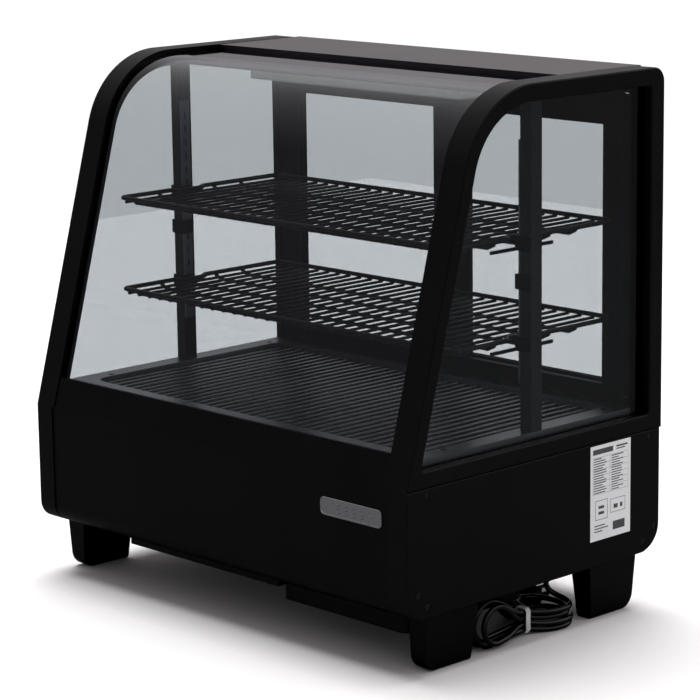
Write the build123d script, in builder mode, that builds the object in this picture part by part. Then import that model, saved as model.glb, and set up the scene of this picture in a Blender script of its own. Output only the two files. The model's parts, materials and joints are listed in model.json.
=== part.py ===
from build123d import *
from math import atan, cos, pi, radians, sin, tan
import os

os.makedirs("parts", exist_ok=True)

# Countertop hot food display case, in millimetres.
# The origin is on the floor under the middle of the case; the customer's side faces -Y.

# ---------------------------------------------------------------- overall sizes
WIDTH = 682.0  # over the two end frames
DEPTH = 450.0
HEIGHT = 675.0
FOOT_HEIGHT = 71.0  # floor to the underside of the base
SEAM_HEIGHT = 226.5  # where the end frames stand on the side panels
TOP_SETBACK = 124.4  # how far behind its foot the leaning front would meet the roof line
BEND_RADIUS = 118.0  # outside of the bend from the leaning front into the roof

FRAME_THICK = 36.0  # an end frame, across the width of the case
CAP_THICK = 31.0  # a side panel, across the width of the case
FRONT_RAIL = 18.0
ROOF_RAIL = 21.5
REAR_RAIL = 24.5
SILL_RAIL = 20.0
RIM_CHAMFER = 1.6
REAR_CORNER = 18.0
OPENING_BEND = 99.0
OPENING_CORNER = 5.0

# ---------------------------------------------------------------- sheet and glass
CAP_WALL = 3.0
SHEET = 1.5
FASCIA_SHEET = 2.0
GLASS_THICK = 5.0
FRONT_GLASS_INSET = 6.0  # below the rim of the end frames
FRONT_GLASS_BOTTOM = 252.0
FRONT_GLASS_BACK = 88.0
GLASS_GRIP = 7.0  # how far the front glass reaches into each end frame
GROOVE_GAP = 0.4
SIDE_GLASS_RECESS = 12.0
BEAD_WIDTH = 5.0
FIT_GAP = 0.5

# ---------------------------------------------------------------- base
FASCIA_SETBACK = 1.6
FASCIA_TOP = 265.0
FASCIA_ROUND = 25.0
FASCIA_FLANGE = 2.0
CAP_FRONT_ROUND = 25.0
CAP_REAR_ROUND = 35.0
CAP_REAR_GAP = 3.0
REAR_PANEL_RECESS = 16.0
TRAY_LEFT = -189.0
TRAY_RIGHT = 91.0
TRAY_BACK = 100.0
TRAY_DROP = 11.0
BOX_LEFT = 92.0
BOX_INSET = 39.0  # from the outer face of the right side panel
BOX_FRONT = -190.0
BOX_BACK = 10.0
BOX_DROP = 27.0
BOX_WALL = 2.0
BOX_CORNER = 8.0
TERMINAL_LENGTH = 60.0
TERMINAL_DEPTH = 22.0
TERMINAL_HEIGHT = 14.0
TERMINAL_PITCH = 10.0
TERMINAL_WELL_RADIUS = 2.5
TERMINAL_WELL_DEPTH = 6.0
BADGE_WIDTH = 102.0
BADGE_HEIGHT = 22.0
BADGE_THICK = 1.5
BADGE_CENTRE_X = 248.0
BADGE_CENTRE_Z = 188.0
LABEL_WIDTH = 75.0
LABEL_HEIGHT = 120.0
LABEL_THICK = 0.3
LABEL_POCKET = 0.4
LABEL_CENTRE_Y = 128.5
LABEL_CENTRE_Z = 164.0
SCREW_HEAD_RADIUS = 4.0
SCREW_HEAD_DEPTH = 2.0
SCREW_SHANK_RADIUS = 2.0
SCREW_LENGTH = 14.0
SCREW_GAP = 0.2
SCREW_TOP_DROP = 8.0
SCREW_EDGE = 14.0
SCREW_LOW = 31.0

# ---------------------------------------------------------------- feet
FOOT_TOP_WIDTH = 32.0
FOOT_TOP_LENGTH = 86.0
FOOT_INSET_X = 7.0  # top of a foot, in from the outer face of the side panel
FOOT_INSET_Y = 40.0
FOOT_TAPER_X = 6.0
FOOT_TAPER_Y = 9.0
FOOT_TOE_RADIUS = 20.0
FOOT_EDGE_RADIUS = 6.0
FOOT_RAKE = 1.5

# ---------------------------------------------------------------- display room
FLOOR_TOP = 255.0
FLOOR_OPEN_WIDTH = 594.0
FLOOR_OPEN_FRONT = -163.0
FLOOR_OPEN_BACK = 170.0
FLOOR_OPEN_CORNER = 20.0
FLOOR_SCREW_FRONT = 35.0  # a floor screw, behind the front edge of the opening
FLOOR_SCREW_BACK = 15.0
GRATE_LEDGE = 8.0
BAR_PITCH = 16.0
BAR_WIDTH = 7.0
BAR_HEIGHT = 3.0
BAR_DROP = 5.0
CROSS_BAR = 4.0
CEILING_FRONT = 22.0
CEILING_HEIGHT = 652.0
LAMP_LENGTH = 380.0
LAMP_DEPTH = 50.0
LAMP_DROP = 11.0
LAMP_SETBACK = 3.0
LAMP_CORNER = 4.0
LAMP_WALL = 3.0
LAMP_SLOT_INSET = 10.0  # hole in the ceiling above the trough, in from its edges
LAMP_COVER_THICK = 2.0
LAMP_TUBE_RADIUS = 3.5
POST_DEPTH = 20.0
POST_CORNER = 1.5
POST_FRONT = 3.0
STRIP_WIDTH = 15.0
STRIP_THICK = 2.0
STRIP_BOTTOM = 312.0
STRIP_TOP = 605.0
SLOT_PITCH = 18.0
SLOT_HEIGHT = 10.0
SLOT_WIDTH = 3.0

SHELF_HALF_WIDTH = 306.0
SHELF_FRONT = -107.0
SHELF_BACK = 178.0
SHELF_HEIGHTS = {"upper_shelf": 488.0, "lower_shelf": 367.0}
RIM_WIRE = 3.0  # radii of the shelf wires
LONG_WIRE = 2.0
CROSS_WIRE = 2.5
WELD_SINK = 0.7
LONG_PITCH = 20.7
CROSS_PITCH = 48.0
RIM_CORNER = 12.0
NOTCH_DEPTH = 10.0
NOTCH_HALF = 24.0
CLIP_THICK = 3.0
CLIP_HEIGHT = 14.0
CLIP_ARM_LENGTH = 108.0
CLIP_ARM_HEIGHT = 4.0
SPARE_CLIP_HEIGHT = 435.0

# ---------------------------------------------------------------- rear
TOP_PANEL_FRONT = 75.0
TOP_PANEL_DEEP = 19.0
TOP_PANEL_FLUSH = 0.5
DOOR_STILE = 27.0
DOORWAY_BOTTOM = 278.0
DOORWAY_TOP = 603.0
SURROUND_FRONT = 186.0
SURROUND_THICK = 8.0
TRACK_RIB = 3.0
TRACK_DEPTH = 10.0
TRACK_BASE = 8.0
DOOR_THICK = 8.0
DOOR_GAP = 0.5
DOOR_PANE = 4.0
PANE_GRIP = 6.0
MEETING_STILE = 37.0
DOOR_SIDE_GAP = 2.0
HANDLE_THICK = 2.8
HANDLE_WIDTH = 14.0
HANDLE_LENGTH = 120.0

# ---------------------------------------------------------------- works in the base
PLENUM_TOP = 169.5
PLENUM_HALF_WIDTH = 272.0
PLENUM_FRONT = -190.0
PLENUM_BACK = 178.0
FAN_X = -90.0
FAN_Y = 0.0
FAN_OPENING = 82.0  # radii
FAN_RADIUS = 74.0
FAN_HUB = 14.0
FAN_BLADES = 5
FAN_BLADE_HEIGHT = 14.0
FAN_SHAFT = 3.0
MOTOR_RADIUS = 34.0
MOTOR_HEIGHT = 48.0
RUNNING_GAP = 0.05
HEATER_RADIUS = 4.0
HEATER_LENGTH = 480.0
HEATER_PITCH = 36.0
HEATER_BACK = 150.0
PAN_LENGTH = 160.0
PAN_DEPTH = 150.0
PAN_HEIGHT = 36.0
PAN_CENTRE_X = 190.0
PAN_CENTRE_Y = -40.0
PAN_WALL = 1.2

# ---------------------------------------------------------------- controls on the rear panel
CONTROL_HEIGHT = 150.0
KNOB_X = -170.0
KNOB_RADIUS = 17.0
KNOB_HEIGHT = 12.0
KNOB_STANDOFF = 0.8
KNOB_TAPER = 4.0
KNOB_FLUTES = 12
KNOB_FLUTE_RADIUS = 1.6
KNOB_MARK_WIDTH = 2.0
KNOB_MARK_DEPTH = 1.0
KNOB_SHAFT = 3.0
KNOB_SHAFT_LENGTH = 16.0
THERMOSTAT_SIZE = 40.0
THERMOSTAT_DEPTH = 26.0
SWITCH_XS = {"power_switch": -110.0, "light_switch": -80.0}
ROCKER_HALF = 8.5
ROCKER_WIDTH = 12.0
ROCKER_TILT = 10.0
ROCKER_VEE = 1.6
ROCKER_BACK = 4.0
ROCKER_CROWN = 2.0
SWITCH_GAP = 0.4
SWITCH_WALL = 1.4
SWITCH_DEPTH = 12.0
SWITCH_FLANGE = 3.0
SWITCH_FLANGE_THICK = 2.0
WELL_GAP = 1.3
DISPLAY_X = -20.0
DISPLAY_WIDTH = 60.0
DISPLAY_HEIGHT = 28.0
DISPLAY_FLANGE = 4.0
DISPLAY_DEPTH = 30.0
VENT_X = 150.0
VENT_LENGTH = 90.0
VENT_HEIGHT = 4.0
VENT_PITCH = 10.0
VENT_COUNT = 8

# ---------------------------------------------------------------- mains lead
CORD_RADIUS = 3.5
GLAND_INSET = 56.0  # the lead and its hank are placed in from the right side of the case
GLAND_Y = 72.0
GLAND_RADIUS = 9.0
GLAND_LENGTH = 12.0
RELIEF_LENGTH = 6.0
HANK_FRONT_INSET = 25.3
HANK_FRONT_Y = -51.0
HANK_FRONT_HALF_LENGTH = 45.0
HANK_FRONT_HALF_HEIGHT = 32.0
HANK_FRONT_THICK = 27.0
HANK_NECK_Y = 4.0
HANK_NECK_INSET = 32.0
HANK_NECK_Z = 20.0
HANK_NECK_WIDTH = 18.0
HANK_NECK_HEIGHT = 30.0
HANK_NECK_LENGTH = 44.0
HANK_REAR_INSET = 49.0
HANK_REAR_Y = 54.5
HANK_REAR_HALF_WIDTH = 43.0
HANK_REAR_HALF_LENGTH = 42.0
HANK_REAR_HEIGHT = 29.0
TIE_WIDTH = 8.0
TIE_THICK = 1.4
PLUG_INSET = 105.0
PLUG_Y = 86.0
PLUG_LENGTH = 44.0
PLUG_RADIUS = 13.0
PIN_LENGTH = 18.0
PIN_SPACING = 12.7
PIN_THICK = 1.5
PIN_WIDTH = 6.4
EARTH_PIN_RISE = 8.0
EARTH_PIN_RADIUS = 2.4
# Points of the lead: in from the right side, along the depth, and up.
CORD_LEAD = [
    (56.0, 72.0, 53.0),
    (56.0, 72.0, 44.0),
    (53.0, 76.0, 36.0),
    (46.0, 82.0, 30.5),
    (36.0, 85.0, 27.5),
]
CORD_TAIL = [
    (65.0, 29.5, 18.9),
    (78.0, 31.0, 17.6),
    (90.0, 35.0, 15.8),
    (100.0, 43.0, 14.0),
    (105.0, 53.0, 13.0),
    (105.0, 64.0, 13.0),
]

# ---------------------------------------------------------------- derived places
HALF_WIDTH = WIDTH / 2
FRONT = -DEPTH / 2
REAR = DEPTH / 2
BASE_BOTTOM = FOOT_HEIGHT
LEAN = atan(TOP_SETBACK / (HEIGHT - SEAM_HEIGHT))
ROOM_HALF = HALF_WIDTH - FRAME_THICK
BOX_RIGHT = HALF_WIDTH - BOX_INSET
DOORWAY_HALF = ROOM_HALF - DOOR_SIDE_GAP - DOOR_STILE
CAP_INNER = HALF_WIDTH - CAP_THICK
GLAND_X = HALF_WIDTH - GLAND_INSET
HANK_FRONT_X = HALF_WIDTH - HANK_FRONT_INSET
HANK_NECK_X = HALF_WIDTH - HANK_NECK_INSET
HANK_REAR_X = HALF_WIDTH - HANK_REAR_INSET
PLUG_X = HALF_WIDTH - PLUG_INSET
GLASS_OUTER = HALF_WIDTH - SIDE_GLASS_RECESS
GLASS_INNER = GLASS_OUTER - GLASS_THICK
REAR_PANEL_OUT = REAR - REAR_PANEL_RECESS
REAR_PANEL_IN = REAR_PANEL_OUT - SHEET
PAN_TOP = BASE_BOTTOM + SHEET
BAR_TOP = FLOOR_TOP - BAR_DROP
SIDES = {"left": -1, "right": 1}


def start_x(side, inner, outer):
    """Lower X of a slab between two distances from the middle, on one side of the case."""
    return inner if side > 0 else -outer


def front_y(height, inset=0.0):
    """Depth of the leaning front at a height, set in square to its face."""
    return FRONT + (height - SEAM_HEIGHT) * tan(LEAN) + inset / cos(LEAN)


def arch(front_inset, roof_inset, rear_inset, foot, front_radius, rear_radius=0.0):
    """Side view of the upper case: leaning front, bend, roof and upright rear."""
    roof = HEIGHT - roof_inset
    back = REAR - rear_inset
    with BuildSketch() as outline:
        with BuildLine():
            Polyline(
                (front_y(foot, front_inset), foot),
                (front_y(roof, front_inset), roof),
                (back, roof),
                (back, foot),
                close=True,
            )
        make_face()
        corners = outline.vertices().group_by(Axis.Y)[-1].sort_by(Axis.X)
        fillet(corners[0], radius=front_radius)
        if rear_radius:
            fillet(outline.vertices().group_by(Axis.Y)[-1].sort_by(Axis.X)[-1:], radius=rear_radius)
    return outline.sketch


def opening(grow):
    """Side view of the side window, grown outwards all round."""
    with BuildSketch() as outline:
        add(
            arch(
                FRONT_RAIL - grow,
                ROOF_RAIL - grow,
                REAR_RAIL - grow,
                SEAM_HEIGHT + SILL_RAIL - grow,
                OPENING_BEND + grow,
                OPENING_CORNER + grow,
            )
        )
        fillet(outline.vertices().group_by(Axis.Y)[0], radius=OPENING_CORNER + grow)
    return outline.sketch


def skin(inset, thickness, bottom, back):
    """Side view of a skin along the leaning front, the bend and the roof."""
    over = 20.0
    outer = arch(inset, inset, REAR - back, bottom, BEND_RADIUS - inset)
    inner = arch(
        inset + thickness,
        inset + thickness,
        REAR - back - over,
        bottom - over,
        BEND_RADIUS - inset - thickness,
    )
    with BuildSketch() as band:
        add(outer)
        add(inner, mode=Mode.SUBTRACT)
    return band.sketch


def base_outline(grow, rear_gap):
    """Side view of a side panel, grown outwards all round."""
    with BuildSketch() as outline:
        with BuildLine():
            Polyline(
                (FRONT - grow, BASE_BOTTOM - grow),
                (FRONT - grow, SEAM_HEIGHT + grow),
                (REAR - rear_gap + grow, SEAM_HEIGHT + grow),
                (REAR - rear_gap + grow, BASE_BOTTOM - grow),
                close=True,
            )
        make_face()
        fillet(outline.vertices().group_by(Axis.Y)[0].sort_by(Axis.X)[:1], radius=CAP_FRONT_ROUND + grow)
        fillet(outline.vertices().group_by(Axis.Y)[0].sort_by(Axis.X)[-1:], radius=CAP_REAR_ROUND + grow)
    return outline.sketch


def fascia_outline(inset):
    """Side view of the base front with its leaning top strip, inset all round."""
    set_in = FASCIA_SETBACK + inset
    top = FASCIA_TOP - inset
    far = FRONT + 90.0
    with BuildSketch() as outline:
        with BuildLine():
            Polyline(
                (FRONT + set_in, BASE_BOTTOM + inset),
                (FRONT + set_in, SEAM_HEIGHT),
                (front_y(top, set_in), top),
                (far, top),
                (far, BASE_BOTTOM + inset),
                close=True,
            )
        make_face()
        fillet(outline.vertices().group_by(Axis.Y)[0].sort_by(Axis.X)[:1], radius=FASCIA_ROUND - set_in)
    return outline.sketch


# ================================================================ base shell
screw_spots = [
    (FRONT + CAP_FRONT_ROUND + 8.0, SEAM_HEIGHT - SCREW_TOP_DROP),
    (REAR - CAP_REAR_GAP - SCREW_EDGE - 6.0, SEAM_HEIGHT - SCREW_TOP_DROP),
    (FRONT + SCREW_EDGE + 4.0, BASE_BOTTOM + SCREW_LOW),
    (FRONT + CAP_FRONT_ROUND + 8.0, BASE_BOTTOM + SCREW_EDGE),
    (REAR - CAP_REAR_GAP - SCREW_EDGE + 4.0, BASE_BOTTOM + SCREW_LOW),
    (REAR - CAP_REAR_GAP - CAP_REAR_ROUND + 4.0, BASE_BOTTOM + SCREW_EDGE),
]

cap_face = base_outline(0.0, CAP_REAR_GAP)
cap_core = base_outline(-CAP_WALL, CAP_REAR_GAP)

# Side panels: moulded shells, open towards the middle of the case.
for side_name, side in SIDES.items():
    with BuildPart() as side_panel:
        with BuildSketch(Plane.YZ.offset(start_x(side, CAP_INNER, HALF_WIDTH))):
            add(cap_face)
        extrude(amount=CAP_THICK)
        outer_face = side_panel.faces().filter_by(Axis.X).sort_by(Axis.X)[-1 if side > 0 else 0]
        chamfer(outer_face.edges(), length=RIM_CHAMFER)
        with BuildSketch(Plane.YZ.offset(start_x(side, CAP_INNER, HALF_WIDTH - CAP_WALL))):
            add(cap_core)
        extrude(amount=CAP_THICK - CAP_WALL, mode=Mode.SUBTRACT)
        with BuildSketch(Plane.YZ.offset(side * HALF_WIDTH)):
            with Locations(*screw_spots):
                Circle(SCREW_HEAD_RADIUS + SCREW_GAP)
        extrude(amount=-side * (SCREW_HEAD_DEPTH + SCREW_GAP), mode=Mode.SUBTRACT)
        with BuildSketch(Plane.YZ.offset(side * HALF_WIDTH)):
            with Locations(*screw_spots):
                Circle(SCREW_SHANK_RADIUS + SCREW_GAP)
        extrude(amount=-side * CAP_THICK, mode=Mode.SUBTRACT)
        if side > 0:
            with BuildSketch(Plane.YZ.offset(HALF_WIDTH)):
                with Locations((LABEL_CENTRE_Y, LABEL_CENTRE_Z)):
                    Rectangle(LABEL_WIDTH, LABEL_HEIGHT)
            extrude(amount=-LABEL_POCKET, mode=Mode.SUBTRACT)
    side_panel.part.label = f"side_panel_{side_name}"
    export_step(side_panel.part, f"parts/side_panel_{side_name}.step")

with BuildPart() as rating_label:
    with BuildSketch(Plane.YZ.offset(HALF_WIDTH - LABEL_POCKET)):
        with Locations((LABEL_CENTRE_Y, LABEL_CENTRE_Z)):
            Rectangle(LABEL_WIDTH - 2 * SCREW_GAP, LABEL_HEIGHT - 2 * SCREW_GAP)
    extrude(amount=LABEL_THICK)
rating_label.part.label = "rating_label"
export_step(rating_label.part, "parts/rating_label.step")

# Base front: one folded sheet, upright below the seam and leaning above it.
fascia_outer = fascia_outline(0.0)
fascia_inner = fascia_outline(FASCIA_SHEET)
fascia_back = FRONT + FASCIA_ROUND + FASCIA_FLANGE
ledge_back = front_y(FASCIA_TOP - FASCIA_SHEET, FRONT_GLASS_INSET) - SCREW_GAP
with BuildPart() as base_front_panel:
    with BuildSketch(Plane.YZ.offset(-CAP_INNER)):
        add(fascia_outer)
        add(fascia_inner, mode=Mode.SUBTRACT)
        with Locations((fascia_back, BASE_BOTTOM)):
            Rectangle(200.0, 60.0, align=(Align.MIN, Align.CENTER), mode=Mode.SUBTRACT)
        with Locations((ledge_back, SEAM_HEIGHT)):
            Rectangle(200.0, 300.0, align=(Align.MIN, Align.CENTER), mode=Mode.SUBTRACT)
    extrude(amount=2 * CAP_INNER)
    for side in SIDES.values():
        with BuildSketch(Plane.YZ.offset(start_x(side, ROOM_HALF, CAP_INNER))):
            with Locations((FRONT, SEAM_HEIGHT)):
                Rectangle(200.0, 100.0, align=(Align.CENTER, Align.MIN))
        extrude(amount=CAP_INNER - ROOM_HALF, mode=Mode.SUBTRACT)
base_front_panel.part.label = "base_front_panel"
export_step(base_front_panel.part, "parts/base_front_panel.step")

with BuildPart() as badge:
    with BuildSketch(Plane.XZ.offset(-FRONT - FASCIA_SETBACK)):
        with Locations((BADGE_CENTRE_X, BADGE_CENTRE_Z)):
            RectangleRounded(BADGE_WIDTH, BADGE_HEIGHT, BADGE_HEIGHT * 0.3)
    extrude(amount=BADGE_THICK)
    chamfer(badge.faces().sort_by(Axis.Y)[0].edges(), length=0.5)
badge.part.label = "badge"
export_step(badge.part, "parts/badge.step")

# Bottom pan: a flat sheet with a shallow pressed tray behind the base front.
pan_back = REAR_PANEL_IN
tray_front = fascia_back + 1.0
with BuildPart() as bottom_pan:
    with BuildSketch(Plane.XY.offset(BASE_BOTTOM)):
        with Locations((0, (fascia_back + pan_back) / 2)):
            Rectangle(2 * CAP_INNER, pan_back - fascia_back)
        with Locations(((TRAY_LEFT + TRAY_RIGHT) / 2, (tray_front + TRAY_BACK) / 2)):
            Rectangle(
                TRAY_RIGHT - TRAY_LEFT - 2 * SHEET,
                TRAY_BACK - tray_front - 2 * SHEET,
                mode=Mode.SUBTRACT,
            )
        with Locations((GLAND_X, GLAND_Y)):
            Circle(GLAND_RADIUS - 2.0, mode=Mode.SUBTRACT)
    extrude(amount=SHEET)
    with BuildSketch(Plane.XY.offset(BASE_BOTTOM - TRAY_DROP)):
        with Locations(((TRAY_LEFT + TRAY_RIGHT) / 2, (tray_front + TRAY_BACK) / 2)):
            Rectangle(TRAY_RIGHT - TRAY_LEFT, TRAY_BACK - tray_front)
    extrude(amount=TRAY_DROP)
    with BuildSketch(Plane.XY.offset(PAN_TOP)):
        with Locations(((TRAY_LEFT + TRAY_RIGHT) / 2, (tray_front + TRAY_BACK) / 2)):
            Rectangle(TRAY_RIGHT - TRAY_LEFT - 2 * SHEET, TRAY_BACK - tray_front - 2 * SHEET)
    extrude(amount=-TRAY_DROP, mode=Mode.SUBTRACT)
bottom_pan.part.label = "bottom_pan"
export_step(bottom_pan.part, "parts/bottom_pan.step")

# Box under the pan that covers the wiring, open on top.
with BuildPart() as wiring_box:
    with BuildSketch(Plane.XY.offset(BASE_BOTTOM - BOX_DROP)):
        with Locations(((BOX_LEFT + BOX_RIGHT) / 2, (BOX_FRONT + BOX_BACK) / 2)):
            RectangleRounded(BOX_RIGHT - BOX_LEFT, BOX_BACK - BOX_FRONT, BOX_CORNER)
    extrude(amount=BOX_DROP)
    top_face = wiring_box.faces().sort_by(Axis.Z)[-1]
    offset(amount=-BOX_WALL, openings=top_face)
wiring_box.part.label = "wiring_box"
export_step(wiring_box.part, "parts/wiring_box.step")

# Terminal block, screwed to the inside of the wiring box.
with BuildPart() as terminal_block:
    with BuildSketch(Plane.XY.offset(BASE_BOTTOM - BOX_DROP + BOX_WALL)):
        with Locations(((BOX_LEFT + BOX_RIGHT) / 2, (BOX_FRONT + BOX_BACK) / 2)):
            Rectangle(TERMINAL_LENGTH, TERMINAL_DEPTH)
    extrude(amount=TERMINAL_HEIGHT)
    with BuildSketch(Plane.XY.offset(BASE_BOTTOM - BOX_DROP + BOX_WALL + TERMINAL_HEIGHT)):
        with Locations(((BOX_LEFT + BOX_RIGHT) / 2, (BOX_FRONT + BOX_BACK) / 2)):
            with GridLocations(TERMINAL_PITCH, TERMINAL_PITCH, 5, 2):
                Circle(TERMINAL_WELL_RADIUS)
    extrude(amount=-TERMINAL_WELL_DEPTH, mode=Mode.SUBTRACT)
terminal_block.part.label = "terminal_block"
export_step(terminal_block.part, "parts/terminal_block.step")

# Feet: four tapered blocks with a rounded toe.
for end_name, end in {"front": -1, "rear": 1}.items():
    for side_name, side in SIDES.items():
        far_y = end * (DEPTH / 2 - FOOT_INSET_Y)
        near_y = far_y - end * FOOT_TOP_LENGTH
        outer_x = side * (HALF_WIDTH - FOOT_INSET_X)
        inner_x = outer_x - side * FOOT_TOP_WIDTH
        with BuildPart() as foot:
            with BuildSketch(Plane.YZ.offset(min(inner_x, outer_x))) as foot_side:
                with BuildLine():
                    Polyline(
                        (far_y, FOOT_HEIGHT),
                        (far_y - end * FOOT_RAKE, 0.0),
                        (near_y + end * FOOT_TAPER_Y, 0.0),
                        (near_y, FOOT_HEIGHT),
                        close=True,
                    )
                make_face()
                toes = foot_side.vertices().group_by(Axis.Y)[0].sort_by(Axis.X)
                outer_toe = toes[0] if end < 0 else toes[-1]
                inner_toe = toes[-1] if end < 0 else toes[0]
                fillet(outer_toe, radius=FOOT_TOE_RADIUS)
                fillet(inner_toe, radius=FOOT_EDGE_RADIUS)
            extrude(amount=FOOT_TOP_WIDTH)
            with BuildSketch(Plane.XZ.offset(DEPTH / 2)) as foot_front:
                with BuildLine():
                    Polyline(
                        (outer_x, FOOT_HEIGHT),
                        (outer_x - side * FOOT_TAPER_X, 0.0),
                        (inner_x + side * FOOT_TAPER_X / 2, 0.0),
                        (inner_x, FOOT_HEIGHT),
                        close=True,
                    )
                make_face()
                fillet(foot_front.vertices().group_by(Axis.Y)[0], radius=FOOT_EDGE_RADIUS - 2.0)
            extrude(amount=-DEPTH, mode=Mode.INTERSECT)
        foot.part.label = f"foot_{end_name}_{side_name}"
        export_step(foot.part, f"parts/foot_{end_name}_{side_name}.step")

# ================================================================ end frames and glass
frame_face = arch(0.0, 0.0, 0.0, SEAM_HEIGHT, BEND_RADIUS, REAR_CORNER)
window = opening(0.0)
rebate = opening(BEAD_WIDTH)
pane = opening(BEAD_WIDTH - FIT_GAP)
groove = skin(
    FRONT_GLASS_INSET - GROOVE_GAP,
    GLASS_THICK + 2 * GROOVE_GAP,
    FRONT_GLASS_BOTTOM - 2.0,
    FRONT_GLASS_BACK + GROOVE_GAP,
)
front_glass_section = skin(FRONT_GLASS_INSET, GLASS_THICK, FRONT_GLASS_BOTTOM, FRONT_GLASS_BACK)

for side_name, side in SIDES.items():
    with BuildPart() as end_frame:
        with BuildSketch(Plane.YZ.offset(start_x(side, ROOM_HALF, HALF_WIDTH))):
            add(frame_face)
            add(window, mode=Mode.SUBTRACT)
        extrude(amount=FRAME_THICK)
        rim = end_frame.faces().filter_by(Axis.X).sort_by(Axis.X)[-1 if side > 0 else 0]
        chamfer(rim.edges(), length=RIM_CHAMFER)
        with BuildSketch(Plane.YZ.offset(start_x(side, ROOM_HALF, GLASS_OUTER))):
            add(rebate)
        extrude(amount=GLASS_OUTER - ROOM_HALF, mode=Mode.SUBTRACT)
        with BuildSketch(Plane.YZ.offset(start_x(side, ROOM_HALF, ROOM_HALF + GLASS_GRIP + GROOVE_GAP))):
            add(groove)
        extrude(amount=GLASS_GRIP + GROOVE_GAP, mode=Mode.SUBTRACT)
    end_frame.part.label = f"end_frame_{side_name}"
    export_step(end_frame.part, f"parts/end_frame_{side_name}.step")

    with BuildPart() as side_glass:
        with BuildSketch(Plane.YZ.offset(start_x(side, GLASS_INNER, GLASS_OUTER))):
            add(pane)
        extrude(amount=GLASS_THICK)
    side_glass.part.label = f"side_glass_{side_name}"
    export_step(side_glass.part, f"parts/side_glass_{side_name}.step")

    # The bead is the moulded strip that holds the side glass in its rebate.
    with BuildPart() as glass_bead:
        with BuildSketch(Plane.YZ.offset(start_x(side, ROOM_HALF, GLASS_INNER))):
            add(pane)
            add(window, mode=Mode.SUBTRACT)
        extrude(amount=GLASS_INNER - ROOM_HALF)
    glass_bead.part.label = f"glass_bead_{side_name}"
    export_step(glass_bead.part, f"parts/glass_bead_{side_name}.step")

with BuildPart() as front_glass:
    with BuildSketch(Plane.YZ.offset(-ROOM_HALF - GLASS_GRIP)):
        add(front_glass_section)
    extrude(amount=2 * (ROOM_HALF + GLASS_GRIP))
front_glass.part.label = "front_glass"
export_step(front_glass.part, "parts/front_glass.step")

# Rubber strips along the lower and the rear edge of the front glass.
lower_seal_inset = FASCIA_SETBACK + FASCIA_SHEET
lower_seal_section = skin(
    lower_seal_inset,
    FRONT_GLASS_INSET - lower_seal_inset,
    FRONT_GLASS_BOTTOM,
    FRONT_GLASS_BACK,
)
with BuildPart() as front_glass_seal:
    with BuildSketch(Plane.YZ.offset(-ROOM_HALF)):
        add(lower_seal_section)
        with Locations((FRONT, FASCIA_TOP - FASCIA_SHEET)):
            Rectangle(2 * DEPTH + 200.0, HEIGHT, align=(Align.CENTER, Align.MIN), mode=Mode.SUBTRACT)
    extrude(amount=2 * ROOM_HALF)
front_glass_seal.part.label = "front_glass_seal"
export_step(front_glass_seal.part, "parts/front_glass_seal.step")

# ================================================================ display room
# Floor plate: polished sheet resting on the sills, with a lipped opening for the bars.
# A ledge along the front and the rear of the opening carries the ends of the bars.
sill_top = SEAM_HEIGHT + SILL_RAIL
plate_bottom = FLOOR_TOP - SHEET
lip_bottom = BAR_TOP - BAR_HEIGHT - SHEET
plate_front = front_y(FLOOR_TOP, FRONT_GLASS_INSET + GLASS_THICK + FIT_GAP)
wing_front = front_y(FLOOR_TOP, FRONT_RAIL) + OPENING_CORNER
wing_half = GLASS_INNER - FIT_GAP
opening_mid_y = (FLOOR_OPEN_FRONT + FLOOR_OPEN_BACK) / 2
opening_depth = FLOOR_OPEN_BACK - FLOOR_OPEN_FRONT
floor_screw_ys = (FLOOR_OPEN_FRONT + FLOOR_SCREW_FRONT, FLOOR_OPEN_BACK - FLOOR_SCREW_BACK)
floor_screw_spots = [(x, y) for x in (-ROOM_HALF, ROOM_HALF) for y in floor_screw_ys]
with BuildPart() as floor_plate:
    with BuildSketch(Plane.XY.offset(plate_bottom)):
        with Locations((0, (plate_front + SURROUND_FRONT) / 2)):
            Rectangle(2 * ROOM_HALF, SURROUND_FRONT - plate_front)
        with Locations((0, (wing_front + SURROUND_FRONT) / 2)):
            Rectangle(2 * wing_half, SURROUND_FRONT - wing_front)
        with Locations((0, opening_mid_y)):
            RectangleRounded(FLOOR_OPEN_WIDTH, opening_depth, FLOOR_OPEN_CORNER, mode=Mode.SUBTRACT)
        with Locations(*floor_screw_spots):
            Circle(SCREW_SHANK_RADIUS + SCREW_GAP, mode=Mode.SUBTRACT)
    extrude(amount=SHEET)
    with BuildSketch(Plane.XY.offset(lip_bottom)):
        with Locations((0, opening_mid_y)):
            RectangleRounded(
                FLOOR_OPEN_WIDTH + 2 * SHEET,
                opening_depth + 2 * SHEET,
                FLOOR_OPEN_CORNER + SHEET,
            )
            RectangleRounded(FLOOR_OPEN_WIDTH, opening_depth, FLOOR_OPEN_CORNER, mode=Mode.SUBTRACT)
    extrude(amount=plate_bottom - lip_bottom)
    with BuildSketch(Plane.XY.offset(lip_bottom)):
        with Locations((0, opening_mid_y)):
            with GridLocations(1.0, opening_depth - GRATE_LEDGE, 1, 2):
                Rectangle(FLOOR_OPEN_WIDTH - 2 * FLOOR_OPEN_CORNER, GRATE_LEDGE)
    extrude(amount=SHEET)
    for side in SIDES.values():
        with BuildSketch(Plane.XY.offset(sill_top)):
            with Locations((side * (wing_half - SHEET / 2), (wing_front + SURROUND_FRONT) / 2)):
                Rectangle(SHEET, SURROUND_FRONT - wing_front)
        extrude(amount=plate_bottom - sill_top)
floor_plate.part.label = "floor_plate"
export_step(floor_plate.part, "parts/floor_plate.step")

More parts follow.
